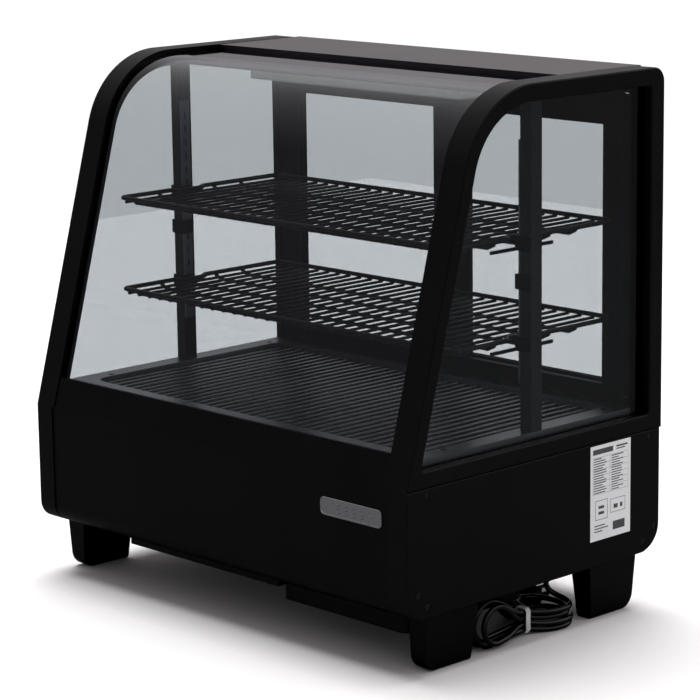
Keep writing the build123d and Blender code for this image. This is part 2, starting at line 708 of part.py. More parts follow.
# All the visible screws: six flush ones in each side panel and four round the floor opening.
with BuildPart() as screws:
    for side in SIDES.values():
        head_face = side * (HALF_WIDTH - SCREW_GAP)
        with BuildSketch(Plane.YZ.offset(head_face)):
            with Locations(*screw_spots):
                Circle(SCREW_HEAD_RADIUS)
        extrude(amount=-side * SCREW_HEAD_DEPTH)
        with BuildSketch(Plane.YZ.offset(head_face - side * SCREW_HEAD_DEPTH)):
            with Locations(*screw_spots):
                Circle(SCREW_SHANK_RADIUS)
        extrude(amount=-side * SCREW_LENGTH)
    with BuildSketch(Plane.XY.offset(FLOOR_TOP)):
        with Locations(*floor_screw_spots):
            Circle(SCREW_HEAD_RADIUS)
    extrude(amount=SCREW_HEAD_DEPTH)
    with BuildSketch(Plane.XY.offset(FLOOR_TOP)):
        with Locations(*floor_screw_spots):
            Circle(SCREW_SHANK_RADIUS)
    extrude(amount=sill_top + FIT_GAP - FLOOR_TOP)
screws.part.label = "screws"
export_step(screws.part, "parts/screws.step")

# Floor grate: bars from front to back on three cross bars.
grate_gap = 1.5
bar_length = opening_depth - 2 * grate_gap
bar_count = int((FLOOR_OPEN_WIDTH - 2 * grate_gap - BAR_WIDTH) / BAR_PITCH) + 1
grate_width = (bar_count - 1) * BAR_PITCH + BAR_WIDTH
corner_length = bar_length - FLOOR_OPEN_CORNER
with BuildPart() as floor_grate:
    with BuildSketch(Plane.XY.offset(BAR_TOP - BAR_HEIGHT)):
        with Locations((0, opening_mid_y)):
            with GridLocations(BAR_PITCH, 1.0, bar_count - 2, 1):
                Rectangle(BAR_WIDTH, bar_length)
            with GridLocations((bar_count - 1) * BAR_PITCH, 1.0, 2, 1):
                Rectangle(BAR_WIDTH, corner_length)
    extrude(amount=BAR_HEIGHT)
    with BuildSketch(Plane.XY.offset(BAR_TOP - BAR_HEIGHT - CROSS_BAR)):
        with Locations((0, opening_mid_y)):
            with GridLocations(1.0, corner_length / 2 - CROSS_BAR, 1, 3):
                Rectangle(grate_width, CROSS_BAR)
    extrude(amount=CROSS_BAR)
floor_grate.part.label = "floor_grate"
export_step(floor_grate.part, "parts/floor_grate.step")

# Ceiling under the roof panel, with a front apron up to the glass and a slot for the lamp.
lamp_front = CEILING_FRONT + LAMP_SETBACK
glass_under = HEIGHT - FRONT_GLASS_INSET - GLASS_THICK
with BuildPart() as ceiling_panel:
    with BuildSketch(Plane.XY.offset(CEILING_HEIGHT)):
        with Locations((0, (CEILING_FRONT + SURROUND_FRONT) / 2)):
            Rectangle(2 * ROOM_HALF, SURROUND_FRONT - CEILING_FRONT)
        with Locations((0, lamp_front + LAMP_DEPTH / 2)):
            Rectangle(
                LAMP_LENGTH - 2 * LAMP_SLOT_INSET,
                LAMP_DEPTH - 2 * LAMP_SLOT_INSET,
                mode=Mode.SUBTRACT,
            )
    extrude(amount=SHEET)
    with BuildSketch(Plane.XY.offset(CEILING_HEIGHT)):
        with Locations((0, CEILING_FRONT + SHEET / 2)):
            Rectangle(2 * ROOM_HALF, SHEET)
    extrude(amount=glass_under - CEILING_HEIGHT)
ceiling_panel.part.label = "ceiling_panel"
export_step(ceiling_panel.part, "parts/ceiling_panel.step")

# Lamp: a shallow trough with a tube inside and a clear cover below.
lamp_bottom = CEILING_HEIGHT - LAMP_DROP
with BuildPart() as lamp_housing:
    with BuildSketch(Plane.XY.offset(lamp_bottom + LAMP_COVER_THICK)):
        with Locations((0, lamp_front + LAMP_DEPTH / 2)):
            RectangleRounded(LAMP_LENGTH, LAMP_DEPTH, LAMP_CORNER)
            RectangleRounded(
                LAMP_LENGTH - 2 * LAMP_WALL,
                LAMP_DEPTH - 2 * LAMP_WALL,
                LAMP_CORNER / 2,
                mode=Mode.SUBTRACT,
            )
    extrude(amount=LAMP_DROP - LAMP_COVER_THICK)
lamp_housing.part.label = "lamp_housing"
export_step(lamp_housing.part, "parts/lamp_housing.step")

with BuildPart() as lamp_cover:
    with BuildSketch(Plane.XY.offset(lamp_bottom)):
        with Locations((0, lamp_front + LAMP_DEPTH / 2)):
            RectangleRounded(LAMP_LENGTH, LAMP_DEPTH, LAMP_CORNER)
    extrude(amount=LAMP_COVER_THICK)
lamp_cover.part.label = "lamp_cover"
export_step(lamp_cover.part, "parts/lamp_cover.step")

with BuildPart() as lamp_tube:
    tube_height = lamp_bottom + LAMP_COVER_THICK + LAMP_TUBE_RADIUS
    with BuildSketch(Plane.YZ.offset(-LAMP_LENGTH / 2 + LAMP_WALL)):
        with Locations((lamp_front + LAMP_DEPTH / 2, tube_height)):
            Circle(LAMP_TUBE_RADIUS)
    extrude(amount=LAMP_LENGTH - 6.0)
lamp_tube.part.label = "lamp_tube"
export_step(lamp_tube.part, "parts/lamp_tube.step")

# Shelf posts stand inside each side glass and carry a slotted strip for the clips.
post_back = POST_FRONT + POST_DEPTH
post_inner = ROOM_HALF + FIT_GAP
post_width = GLASS_INNER - FIT_GAP - post_inner
strip_inner = post_inner - STRIP_THICK
post_top = HEIGHT - ROOF_RAIL
for side_name, side in SIDES.items():
    with BuildPart() as shelf_post:
        with BuildSketch(Plane.XY.offset(FLOOR_TOP)):
            with Locations((side * (post_inner + post_width / 2), POST_FRONT + POST_DEPTH / 2)):
                RectangleRounded(post_width, POST_DEPTH, POST_CORNER)
        extrude(amount=post_top - FLOOR_TOP)
    shelf_post.part.label = f"shelf_post_{side_name}"
    export_step(shelf_post.part, f"parts/shelf_post_{side_name}.step")

    slot_count = int((STRIP_TOP - STRIP_BOTTOM) / SLOT_PITCH) - 1
    with BuildPart() as slotted_strip:
        with BuildSketch(Plane.YZ.offset(start_x(side, strip_inner, post_inner))):
            with Locations((POST_FRONT + STRIP_WIDTH / 2, (STRIP_BOTTOM + STRIP_TOP) / 2)):
                Rectangle(STRIP_WIDTH, STRIP_TOP - STRIP_BOTTOM)
                with GridLocations(1.0, SLOT_PITCH, 1, slot_count):
                    Rectangle(SLOT_WIDTH, SLOT_HEIGHT, mode=Mode.SUBTRACT)
        extrude(amount=STRIP_THICK)
    slotted_strip.part.label = f"slotted_strip_{side_name}"
    export_step(slotted_strip.part, f"parts/slotted_strip_{side_name}.step")

# Shelf clips: each wraps the front of a post and its slotted strip.
# Those under a shelf have an arm to the front and to the back that the shelf lies on.
shelf_drop = RIM_WIRE + 2 * LONG_WIRE + 2 * CROSS_WIRE - 2 * WELD_SINK
clip_levels = [(height - shelf_drop, True) for height in SHELF_HEIGHTS.values()]
clip_levels.append((SPARE_CLIP_HEIGHT - CLIP_ARM_HEIGHT, False))
clip_inner = strip_inner - CLIP_THICK
clip_outer = GLASS_INNER - FIT_GAP
with BuildPart() as shelf_clips:
    for arm_top, has_arm in clip_levels:
        for side in SIDES.values():
            with BuildSketch(Plane.XY.offset(arm_top - CLIP_ARM_HEIGHT)):
                with Locations((side * (clip_inner + clip_outer) / 2, POST_FRONT - CLIP_THICK / 2)):
                    Rectangle(clip_outer - clip_inner, CLIP_THICK)
                with Locations((side * (clip_inner + CLIP_THICK / 2), POST_FRONT + STRIP_WIDTH / 2)):
                    Rectangle(CLIP_THICK, STRIP_WIDTH)
            extrude(amount=CLIP_ARM_HEIGHT + CLIP_HEIGHT)
            if has_arm:
                with BuildSketch(Plane.XY.offset(arm_top - CLIP_ARM_HEIGHT)):
                    with Locations((side * (clip_inner + CLIP_THICK / 2), POST_FRONT + STRIP_WIDTH / 2)):
                        Rectangle(CLIP_THICK, CLIP_ARM_LENGTH)
                extrude(amount=CLIP_ARM_HEIGHT)
shelf_clips.part.label = "shelf_clips"
export_step(shelf_clips.part, "parts/shelf_clips.step")

# Wire shelves: a rim notched round the posts, long wires below it, cross wires lowest.
shelf_mid_y = (SHELF_FRONT + SHELF_BACK) / 2
shelf_depth = SHELF_BACK - SHELF_FRONT
rim_x = SHELF_HALF_WIDTH - RIM_WIRE
rim_front = SHELF_FRONT + RIM_WIRE
rim_back = SHELF_BACK - RIM_WIRE
notch_mid = POST_FRONT + STRIP_WIDTH / 2
notch_low = notch_mid - NOTCH_HALF
notch_high = notch_mid + NOTCH_HALF
notch_x = rim_x - NOTCH_DEPTH
rim_corners = [
    (-rim_x, rim_front),
    (rim_x, rim_front),
    (rim_x, notch_low),
    (notch_x, notch_low + NOTCH_DEPTH / 2),
    (notch_x, notch_high - NOTCH_DEPTH / 2),
    (rim_x, notch_high),
    (rim_x, rim_back),
    (-rim_x, rim_back),
    (-rim_x, notch_high),
    (-notch_x, notch_high - NOTCH_DEPTH / 2),
    (-notch_x, notch_low + NOTCH_DEPTH / 2),
    (-rim_x, notch_low),
]
long_count = int((2 * rim_x - LONG_PITCH) / LONG_PITCH) + 1
cross_count = int((shelf_depth - CROSS_PITCH) / CROSS_PITCH) + 1
for shelf_name, shelf_height in SHELF_HEIGHTS.items():
    long_height = shelf_height - RIM_WIRE - LONG_WIRE + WELD_SINK
    cross_height = long_height - LONG_WIRE - CROSS_WIRE + WELD_SINK
    with BuildPart() as shelf:
        with BuildLine(Plane.XY.offset(shelf_height)) as rim_path:
            Polyline(*rim_corners, close=True)
            fillet(rim_path.vertices().group_by(Axis.Y)[0], radius=RIM_CORNER)
            fillet(rim_path.vertices().group_by(Axis.Y)[-1], radius=RIM_CORNER)
        with BuildSketch(Plane.YZ.offset(0.0)):
            with Locations((rim_front, shelf_height)):
                Circle(RIM_WIRE)
        sweep(path=rim_path.wires()[0], transition=Transition.RIGHT)
        with BuildSketch(Plane.XZ.offset(-SHELF_BACK)):
            with Locations((0, long_height)):
                with GridLocations(LONG_PITCH, 1.0, long_count, 1):
                    Circle(LONG_WIRE)
        extrude(amount=shelf_depth)
        with BuildSketch(Plane.YZ.offset(-notch_x)):
            with Locations((notch_mid - 1.0, cross_height)):
                with GridLocations(CROSS_PITCH, 1.0, cross_count, 1):
                    Circle(CROSS_WIRE)
        extrude(amount=2 * notch_x)
    shelf.part.label = shelf_name
    export_step(shelf.part, f"parts/{shelf_name}.step")

# ================================================================ roof and rear
groove_width = DOOR_THICK + 2 * DOOR_GAP
plate_back = SURROUND_FRONT + SURROUND_THICK
track_back = plate_back + 3 * TRACK_RIB + 2 * groove_width
door_y = {
    "left": plate_back + TRACK_RIB + DOOR_GAP,
    "right": plate_back + 2 * TRACK_RIB + groove_width + DOOR_GAP,
}
groove_mids = [y + DOOR_THICK / 2 for y in door_y.values()]
door_half_height = (DOORWAY_TOP - DOORWAY_BOTTOM) / 2
door_low = DOORWAY_BOTTOM - DOOR_STILE
door_high = DOORWAY_TOP + DOOR_STILE
low_track_floor = door_low - DOOR_GAP
high_track_roof = door_high + DOOR_GAP
track_top = high_track_roof + TRACK_BASE
panel_top = HEIGHT - TOP_PANEL_FLUSH
panel_under = panel_top - TOP_PANEL_DEEP
panel_back = REAR - CAP_REAR_GAP
glass_top = HEIGHT - FRONT_GLASS_INSET

# Top panel: a shallow lid, with a flange down the rear to the top of the door track.
with BuildPart() as top_panel:
    with BuildSketch(Plane.XY.offset(panel_under)):
        with Locations((0, (TOP_PANEL_FRONT + panel_back) / 2)):
            Rectangle(2 * ROOM_HALF, panel_back - TOP_PANEL_FRONT)
    extrude(amount=TOP_PANEL_DEEP)
    under_face = top_panel.faces().sort_by(Axis.Z)[0]
    offset(amount=-SHEET, openings=under_face)
    with BuildSketch(Plane.XY.offset(panel_under)):
        with Locations((0, TOP_PANEL_FRONT)):
            Rectangle(2 * ROOM_HALF, 2 * (FRONT_GLASS_BACK + FIT_GAP - TOP_PANEL_FRONT))
    extrude(amount=glass_top - panel_under, mode=Mode.SUBTRACT)
    with BuildSketch(Plane.XY.offset(track_top + FIT_GAP)):
        with Locations((0, panel_back - SHEET / 2)):
            Rectangle(2 * ROOM_HALF, SHEET)
    extrude(amount=panel_under - track_top - FIT_GAP)
top_panel.part.label = "top_panel"
export_step(top_panel.part, "parts/top_panel.step")

# Rear surround: a plate with the doorway, and two-groove tracks above and below the doors.
with BuildPart() as rear_surround:
    with BuildSketch(Plane.XZ.offset(-SURROUND_FRONT)):
        with Locations((0, (SEAM_HEIGHT + panel_under) / 2)):
            Rectangle(2 * ROOM_HALF, panel_under - SEAM_HEIGHT)
        with Locations((0, (DOORWAY_BOTTOM + DOORWAY_TOP) / 2)):
            Rectangle(2 * DOORWAY_HALF, DOORWAY_TOP - DOORWAY_BOTTOM, mode=Mode.SUBTRACT)
    extrude(amount=-SURROUND_THICK)
    with BuildSketch(Plane.YZ.offset(-ROOM_HALF)):
        with Locations((plate_back, low_track_floor - TRACK_BASE)):
            Rectangle(track_back - plate_back, TRACK_BASE + TRACK_DEPTH, align=(Align.MIN, Align.MIN))
        with Locations((plate_back, track_top)):
            Rectangle(track_back - plate_back, TRACK_BASE + 2 * TRACK_DEPTH, align=(Align.MIN, Align.MAX))
        for groove_mid in groove_mids:
            with Locations((groove_mid, low_track_floor)):
                Rectangle(
                    groove_width,
                    high_track_roof - low_track_floor,
                    align=(Align.CENTER, Align.MIN),
                    mode=Mode.SUBTRACT,
                )
    extrude(amount=2 * ROOM_HALF)
rear_surround.part.label = "rear_surround"
export_step(rear_surround.part, "parts/rear_surround.step")

# Sliding doors: a frame, a pane and a finger grip each.
door_height = door_high - door_low
door_mid_z = (door_low + door_high) / 2
for side_name, side in SIDES.items():
    outer_x = side * (ROOM_HALF - DOOR_SIDE_GAP)
    meeting_x = -side * MEETING_STILE
    door_mid_x = (outer_x + meeting_x) / 2
    door_width = abs(outer_x - meeting_x)
    pane_low_x = min(outer_x - side * DOOR_STILE, 0.0)
    pane_high_x = max(outer_x - side * DOOR_STILE, 0.0)
    pane_width = pane_high_x - pane_low_x
    pane_mid_x = (pane_low_x + pane_high_x) / 2
    door_front = door_y[side_name]
    pane_front = door_front + (DOOR_THICK - DOOR_PANE) / 2
    with BuildPart() as door_frame:
        with BuildSketch(Plane.XZ.offset(-door_front)):
            with Locations((door_mid_x, door_mid_z)):
                Rectangle(door_width, door_height)
            with Locations((pane_mid_x, door_mid_z)):
                Rectangle(pane_width, 2 * door_half_height, mode=Mode.SUBTRACT)
        extrude(amount=-DOOR_THICK)
        with BuildSketch(Plane.XZ.offset(-pane_front)):
            with Locations((pane_mid_x, door_mid_z)):
                Rectangle(pane_width + 2 * PANE_GRIP, 2 * (door_half_height + PANE_GRIP))
        extrude(amount=-DOOR_PANE, mode=Mode.SUBTRACT)
    door_frame.part.label = f"door_frame_{side_name}"
    export_step(door_frame.part, f"parts/door_frame_{side_name}.step")

    with BuildPart() as door_glass:
        with BuildSketch(Plane.XZ.offset(-pane_front)):
            with Locations((pane_mid_x, door_mid_z)):
                Rectangle(pane_width + 2 * PANE_GRIP, 2 * (door_half_height + PANE_GRIP))
        extrude(amount=-DOOR_PANE)
    door_glass.part.label = f"door_glass_{side_name}"
    export_step(door_glass.part, f"parts/door_glass_{side_name}.step")

    with BuildPart() as door_grip:
        with BuildSketch(Plane.XZ.offset(-door_front - DOOR_THICK)):
            with Locations((outer_x - side * DOOR_STILE / 2, door_mid_z)):
                RectangleRounded(HANDLE_WIDTH, HANDLE_LENGTH, HANDLE_WIDTH * 0.4)
        extrude(amount=-HANDLE_THICK)
        fillet(door_grip.faces().sort_by(Axis.Y)[-1].edges(), radius=1.2)
    door_grip.part.label = f"door_grip_{side_name}"
    export_step(door_grip.part, f"parts/door_grip_{side_name}.step")

# Rear panel of the base, with holes for the controls and a bank of vents.
rocker_reach = ROCKER_HALF + WELL_GAP
well_half_height = rocker_reach
well_half_width = ROCKER_WIDTH / 2 + SWITCH_GAP
body_half_height = well_half_height + SWITCH_WALL
body_half_width = well_half_width + SWITCH_WALL
with BuildPart() as rear_panel:
    with BuildSketch(Plane.XZ.offset(-REAR_PANEL_IN)):
        with Locations((0, (BASE_BOTTOM + SEAM_HEIGHT) / 2)):
            Rectangle(2 * CAP_INNER, SEAM_HEIGHT - BASE_BOTTOM)
        with Locations((KNOB_X, CONTROL_HEIGHT)):
            Circle(KNOB_SHAFT + 1.0, mode=Mode.SUBTRACT)
        with Locations(*[(x, CONTROL_HEIGHT) for x in SWITCH_XS.values()]):
            Rectangle(2 * body_half_width, 2 * body_half_height, mode=Mode.SUBTRACT)
        with Locations((DISPLAY_X, CONTROL_HEIGHT)):
            Rectangle(DISPLAY_WIDTH, DISPLAY_HEIGHT, mode=Mode.SUBTRACT)
        with Locations((VENT_X, CONTROL_HEIGHT)):
            with GridLocations(1.0, VENT_PITCH, 1, VENT_COUNT):
                SlotOverall(VENT_LENGTH, VENT_HEIGHT, mode=Mode.SUBTRACT)
    extrude(amount=-SHEET)
rear_panel.part.label = "rear_panel"
export_step(rear_panel.part, "parts/rear_panel.step")

# Thermostat behind the panel, and the knob whose spindle turns in it.
with BuildPart() as thermostat:
    with BuildSketch(Plane.XZ.offset(-REAR_PANEL_IN)):
        with Locations((KNOB_X, CONTROL_HEIGHT)):
            RectangleRounded(THERMOSTAT_SIZE, THERMOSTAT_SIZE, 3.0)
    extrude(amount=THERMOSTAT_DEPTH)
    with BuildSketch(Plane.XZ.offset(-REAR_PANEL_IN)):
        with Locations((KNOB_X, CONTROL_HEIGHT)):
            Circle(KNOB_SHAFT + RUNNING_GAP)
    extrude(amount=KNOB_SHAFT_LENGTH, mode=Mode.SUBTRACT)
thermostat.part.label = "thermostat"
export_step(thermostat.part, "parts/thermostat.step")

knob_back = REAR_PANEL_OUT + KNOB_STANDOFF
with BuildPart() as thermostat_knob:
    with BuildSketch(Plane.XZ.offset(-knob_back)):
        with Locations((KNOB_X, CONTROL_HEIGHT)):
            Circle(KNOB_RADIUS)
            with PolarLocations(KNOB_RADIUS, KNOB_FLUTES):
                Circle(KNOB_FLUTE_RADIUS, mode=Mode.SUBTRACT)
    extrude(amount=-KNOB_HEIGHT, taper=KNOB_TAPER)
    with BuildSketch(Plane.XZ.offset(-knob_back - KNOB_HEIGHT)):
        with Locations((KNOB_X, CONTROL_HEIGHT + KNOB_RADIUS * 0.6)):
            Rectangle(KNOB_MARK_WIDTH, KNOB_RADIUS * 0.5)
    extrude(amount=KNOB_MARK_DEPTH, mode=Mode.SUBTRACT)
    with BuildSketch(Plane.XZ.offset(-knob_back)):
        with Locations((KNOB_X, CONTROL_HEIGHT)):
            Circle(KNOB_SHAFT)
    extrude(amount=KNOB_STANDOFF + SHEET + KNOB_SHAFT_LENGTH - 2.0)
thermostat_knob.part.label = "thermostat_knob"
export_step(thermostat_knob.part, "parts/thermostat_knob.step")

# Rocker switches: a bezelled well, and a rocker tilted to off inside it.
for switch_name, switch_x in SWITCH_XS.items():
    with BuildPart() as switch_body:
        with BuildSketch(Plane.XZ.offset(-REAR_PANEL_OUT)):
            with Locations((switch_x, CONTROL_HEIGHT)):
                RectangleRounded(
                    2 * (body_half_width + SWITCH_FLANGE),
                    2 * (body_half_height + SWITCH_FLANGE),
                    2.0,
                )
        extrude(amount=-SWITCH_FLANGE_THICK)
        with BuildSketch(Plane.XZ.offset(-REAR_PANEL_OUT)):
            with Locations((switch_x, CONTROL_HEIGHT)):
                Rectangle(2 * body_half_width, 2 * body_half_height)
        extrude(amount=SWITCH_DEPTH)
        with BuildSketch(Plane.XZ.offset(-REAR_PANEL_OUT - SWITCH_FLANGE_THICK)):
            with Locations((switch_x, CONTROL_HEIGHT)):
                Rectangle(2 * well_half_width, 2 * well_half_height)
        extrude(amount=SWITCH_DEPTH, mode=Mode.SUBTRACT)
    switch_body.part.label = f"{switch_name}_body"
    export_step(switch_body.part, f"parts/{switch_name}_body.step")

    pivot_y = REAR_PANEL_OUT + SWITCH_FLANGE_THICK / 2
    with BuildPart() as rocker:
        with BuildSketch(Plane.YZ.offset(switch_x - ROCKER_WIDTH / 2)):
            with Locations(Location((pivot_y, CONTROL_HEIGHT), ROCKER_TILT)):
                Polygon(
                    (-ROCKER_BACK, -ROCKER_HALF + 2.0),
                    (ROCKER_CROWN + ROCKER_VEE, -ROCKER_HALF),
                    (ROCKER_CROWN, 0.0),
                    (ROCKER_CROWN + ROCKER_VEE, ROCKER_HALF),
                    (-ROCKER_BACK, ROCKER_HALF - 2.0),
                    align=None,
                )
        extrude(amount=ROCKER_WIDTH)
    rocker.part.label = f"{switch_name}_rocker"
    export_step(rocker.part, f"parts/{switch_name}_rocker.step")

with BuildPart() as temperature_display:
    with BuildSketch(Plane.XZ.offset(-REAR_PANEL_OUT)):
        with Locations((DISPLAY_X, CONTROL_HEIGHT)):
            RectangleRounded(DISPLAY_WIDTH + 2 * DISPLAY_FLANGE, DISPLAY_HEIGHT + 2 * DISPLAY_FLANGE, 3.0)
    extrude(amount=-SWITCH_FLANGE_THICK)
    with BuildSketch(Plane.XZ.offset(-REAR_PANEL_OUT)):
        with Locations((DISPLAY_X, CONTROL_HEIGHT)):
            Rectangle(DISPLAY_WIDTH, DISPLAY_HEIGHT)
    extrude(amount=DISPLAY_DEPTH)
    with BuildSketch(Plane.XZ.offset(-REAR_PANEL_OUT - SWITCH_FLANGE_THICK)):
        with Locations((DISPLAY_X, CONTROL_HEIGHT)):
            RectangleRounded(DISPLAY_WIDTH * 0.8, DISPLAY_HEIGHT * 0.7, 2.0)
    extrude(amount=1.0, mode=Mode.SUBTRACT)
temperature_display.part.label = "temperature_display"
export_step(temperature_display.part, "parts/temperature_display.step")

# ================================================================ works in the base
# Plenum: a folded tray over the bottom pan that carries the heater, with a fan opening.
with BuildPart() as plenum_tray:
    with BuildSketch(Plane.XY.offset(PLENUM_TOP - SHEET)):
        with Locations((0, (PLENUM_FRONT + PLENUM_BACK) / 2)):
            Rectangle(2 * PLENUM_HALF_WIDTH, PLENUM_BACK - PLENUM_FRONT)
        with Locations((FAN_X, FAN_Y)):
            Circle(FAN_OPENING, mode=Mode.SUBTRACT)
    extrude(amount=SHEET)
    with BuildSketch(Plane.XY.offset(PAN_TOP)):
        with Locations((0, (PLENUM_FRONT + PLENUM_BACK) / 2)):
            with GridLocations(2 * PLENUM_HALF_WIDTH - SHEET, 1.0, 2, 1):
                Rectangle(SHEET, PLENUM_BACK - PLENUM_FRONT)
    extrude(amount=PLENUM_TOP - PAN_TOP)
plenum_tray.part.label = "plenum_tray"
export_step(plenum_tray.part, "parts/plenum_tray.step")

# Tubular heater: two passes joined by a round bend, lying on the tray behind the fan.
heater_z = PLENUM_TOP + HEATER_RADIUS
pass_ys = [HEATER_BACK - HEATER_PITCH * k for k in range(2)]
with BuildPart() as heater_element:
    with BuildLine(Plane.XY.offset(heater_z)) as heater_path:
        back_pass = Line((-HEATER_LENGTH / 2, pass_ys[0]), (HEATER_LENGTH / 2, pass_ys[0]))
        bend = TangentArc(back_pass @ 1, (HEATER_LENGTH / 2, pass_ys[1]), tangent=back_pass % 1)
        Line(bend @ 1, (-HEATER_LENGTH / 2, pass_ys[1]))
    with BuildSketch(Plane.YZ.offset(-HEATER_LENGTH / 2)):
        with Locations((pass_ys[0], heater_z)):
            Circle(HEATER_RADIUS)
    sweep(path=heater_path.wires()[0])
heater_element.part.label = "heater_element"
export_step(heater_element.part, "parts/heater_element.step")

with BuildPart() as water_pan:
    with BuildSketch(Plane.XY.offset(PLENUM_TOP)):
        with Locations((PAN_CENTRE_X, PAN_CENTRE_Y)):
            RectangleRounded(PAN_LENGTH, PAN_DEPTH, 12.0)
    extrude(amount=PAN_HEIGHT)
    offset(amount=-PAN_WALL, openings=water_pan.faces().sort_by(Axis.Z)[-1])
water_pan.part.label = "water_pan"
export_step(water_pan.part, "parts/water_pan.step")

# Fan motor stands in the pressed tray; the rotor's shaft turns in its bearing.
motor_bottom = BASE_BOTTOM - TRAY_DROP + SHEET
motor_top = motor_bottom + MOTOR_HEIGHT
with BuildPart() as fan_motor:
    with BuildSketch(Plane.XY.offset(motor_bottom)):
        with Locations((FAN_X, FAN_Y)):
            Circle(MOTOR_RADIUS)
    extrude(amount=MOTOR_HEIGHT)
    fillet(fan_motor.edges().group_by(Axis.Z)[-1], radius=4.0)
    with BuildSketch(Plane.XY.offset(motor_top)):
        with Locations((FAN_X, FAN_Y)):
            Circle(FAN_SHAFT + RUNNING_GAP)
    extrude(amount=-MOTOR_HEIGHT / 2, mode=Mode.SUBTRACT)
fan_motor.part.label = "fan_motor"
export_step(fan_motor.part, "parts/fan_motor.step")

rotor_bottom = motor_top + 8.0
blade_pitch = 30.0
with BuildPart() as fan_rotor:
    with BuildSketch(Plane.XY.offset(motor_top - MOTOR_HEIGHT / 2 + 2.0)):
        with Locations((FAN_X, FAN_Y)):
            Circle(FAN_SHAFT)
    extrude(amount=MOTOR_HEIGHT / 2 + 8.0)
    with BuildSketch(Plane.XY.offset(rotor_bottom)):
        with Locations((FAN_X, FAN_Y)):
            Circle(FAN_HUB)
    extrude(amount=FAN_BLADE_HEIGHT)
    with Locations(Plane.XY.offset(rotor_bottom + FAN_BLADE_HEIGHT / 2)):
        with Locations((FAN_X, FAN_Y)):
            with PolarLocations((FAN_HUB + FAN_RADIUS) / 2 - 2.0, FAN_BLADES):
                Box(FAN_RADIUS - FAN_HUB, 24.0, 1.6, rotation=(blade_pitch, 0, 0))
fan_rotor.part.label = "fan_rotor"
export_step(fan_rotor.part, "parts/fan_rotor.step")

# ================================================================ mains lead
# Cable gland with a stepped collar under the bottom pan.
relief_bottom = BASE_BOTTOM - GLAND_LENGTH - RELIEF_LENGTH
with BuildPart() as cord_gland:
    with BuildSketch(Plane.XY.offset(BASE_BOTTOM - GLAND_LENGTH)):
        with Locations((GLAND_X, GLAND_Y)):
            RegularPolygon(GLAND_RADIUS, 6)
    extrude(amount=GLAND_LENGTH)
    with BuildSketch(Plane.XY.offset(BASE_BOTTOM)):
        with Locations((GLAND_X, GLAND_Y)):
            Circle(GLAND_RADIUS - 2.0)
    extrude(amount=SHEET + 4.0)
    with BuildSketch(Plane.XY.offset(relief_bottom)):
        with Locations((GLAND_X, GLAND_Y)):
            Circle(CORD_RADIUS + 1.5)
    extrude(amount=RELIEF_LENGTH)
cord_gland.part.label = "cord_gland"
export_step(cord_gland.part, "parts/cord_gland.step")

# Power cord: the free stretches from the gland to the hank and from the hank to the plug.
free_length = 0.0
with BuildPart() as power_cord:
    for stretch in (CORD_LEAD, CORD_TAIL):
        route = [Vector(HALF_WIDTH - inset, y, z) for inset, y, z in stretch]
        bend_radii = []
        for before, corner, after in zip(route, route[1:], route[2:]):
            turn = (corner - before).get_angle(after - corner)
            shorter = min((corner - before).length, (after - corner).length)
            bend_radii.append(0.45 * shorter / tan(radians(turn / 2)))
        print("power cord bend radii", [round(radius, 1) for radius in bend_radii])
        with BuildLine() as cord_path:
            FilletPolyline(*route, radius=bend_radii)
        with BuildSketch(Plane(origin=route[0], z_dir=route[1] - route[0])):
            Circle(CORD_RADIUS)
        sweep(path=cord_path.wires()[0])
        free_length += cord_path.wires()[0].length
section_volume = pi * CORD_RADIUS**2 * free_length
print("power cord length outside the hank", round(free_length, 1))
print("its volume over section times length", round(power_cord.part.volume / section_volume, 3))
power_cord.part.label = "power_cord"
export_step(power_cord.part, "parts/power_cord.step")

# Hank: the rest of the lead folded up, one loop on edge and the other lying flat.
with BuildPart() as cord_hank:
    with BuildSketch(Plane.YZ.offset(HANK_FRONT_X - HANK_FRONT_THICK / 2)):
        with Locations((HANK_FRONT_Y, HANK_FRONT_HALF_HEIGHT)):
            Ellipse(HANK_FRONT_HALF_LENGTH, HANK_FRONT_HALF_HEIGHT)
    extrude(amount=HANK_FRONT_THICK)
    with BuildSketch(Plane.XY):
        with Locations((HANK_REAR_X, HANK_REAR_Y)):
            Ellipse(HANK_REAR_HALF_WIDTH, HANK_REAR_HALF_LENGTH)
    extrude(amount=HANK_REAR_HEIGHT)
    with Locations((HANK_NECK_X, HANK_NECK_Y, HANK_NECK_Z)):
        Box(HANK_NECK_WIDTH, HANK_NECK_LENGTH, HANK_NECK_HEIGHT)
cord_hank.part.label = "cord_hank"
export_step(cord_hank.part, "parts/cord_hank.step")

with BuildPart() as cord_tie:
    with BuildSketch(Plane.XZ.offset(-HANK_NECK_Y)):
        with Locations((HANK_NECK_X, HANK_NECK_Z)):
            Rectangle(HANK_NECK_WIDTH + 2 * TIE_THICK, HANK_NECK_HEIGHT + 2 * TIE_THICK)
            Rectangle(HANK_NECK_WIDTH, HANK_NECK_HEIGHT, mode=Mode.SUBTRACT)
    extrude(amount=TIE_WIDTH / 2, both=True)
cord_tie.part.label = "cord_tie"
export_step(cord_tie.part, "parts/cord_tie.step")

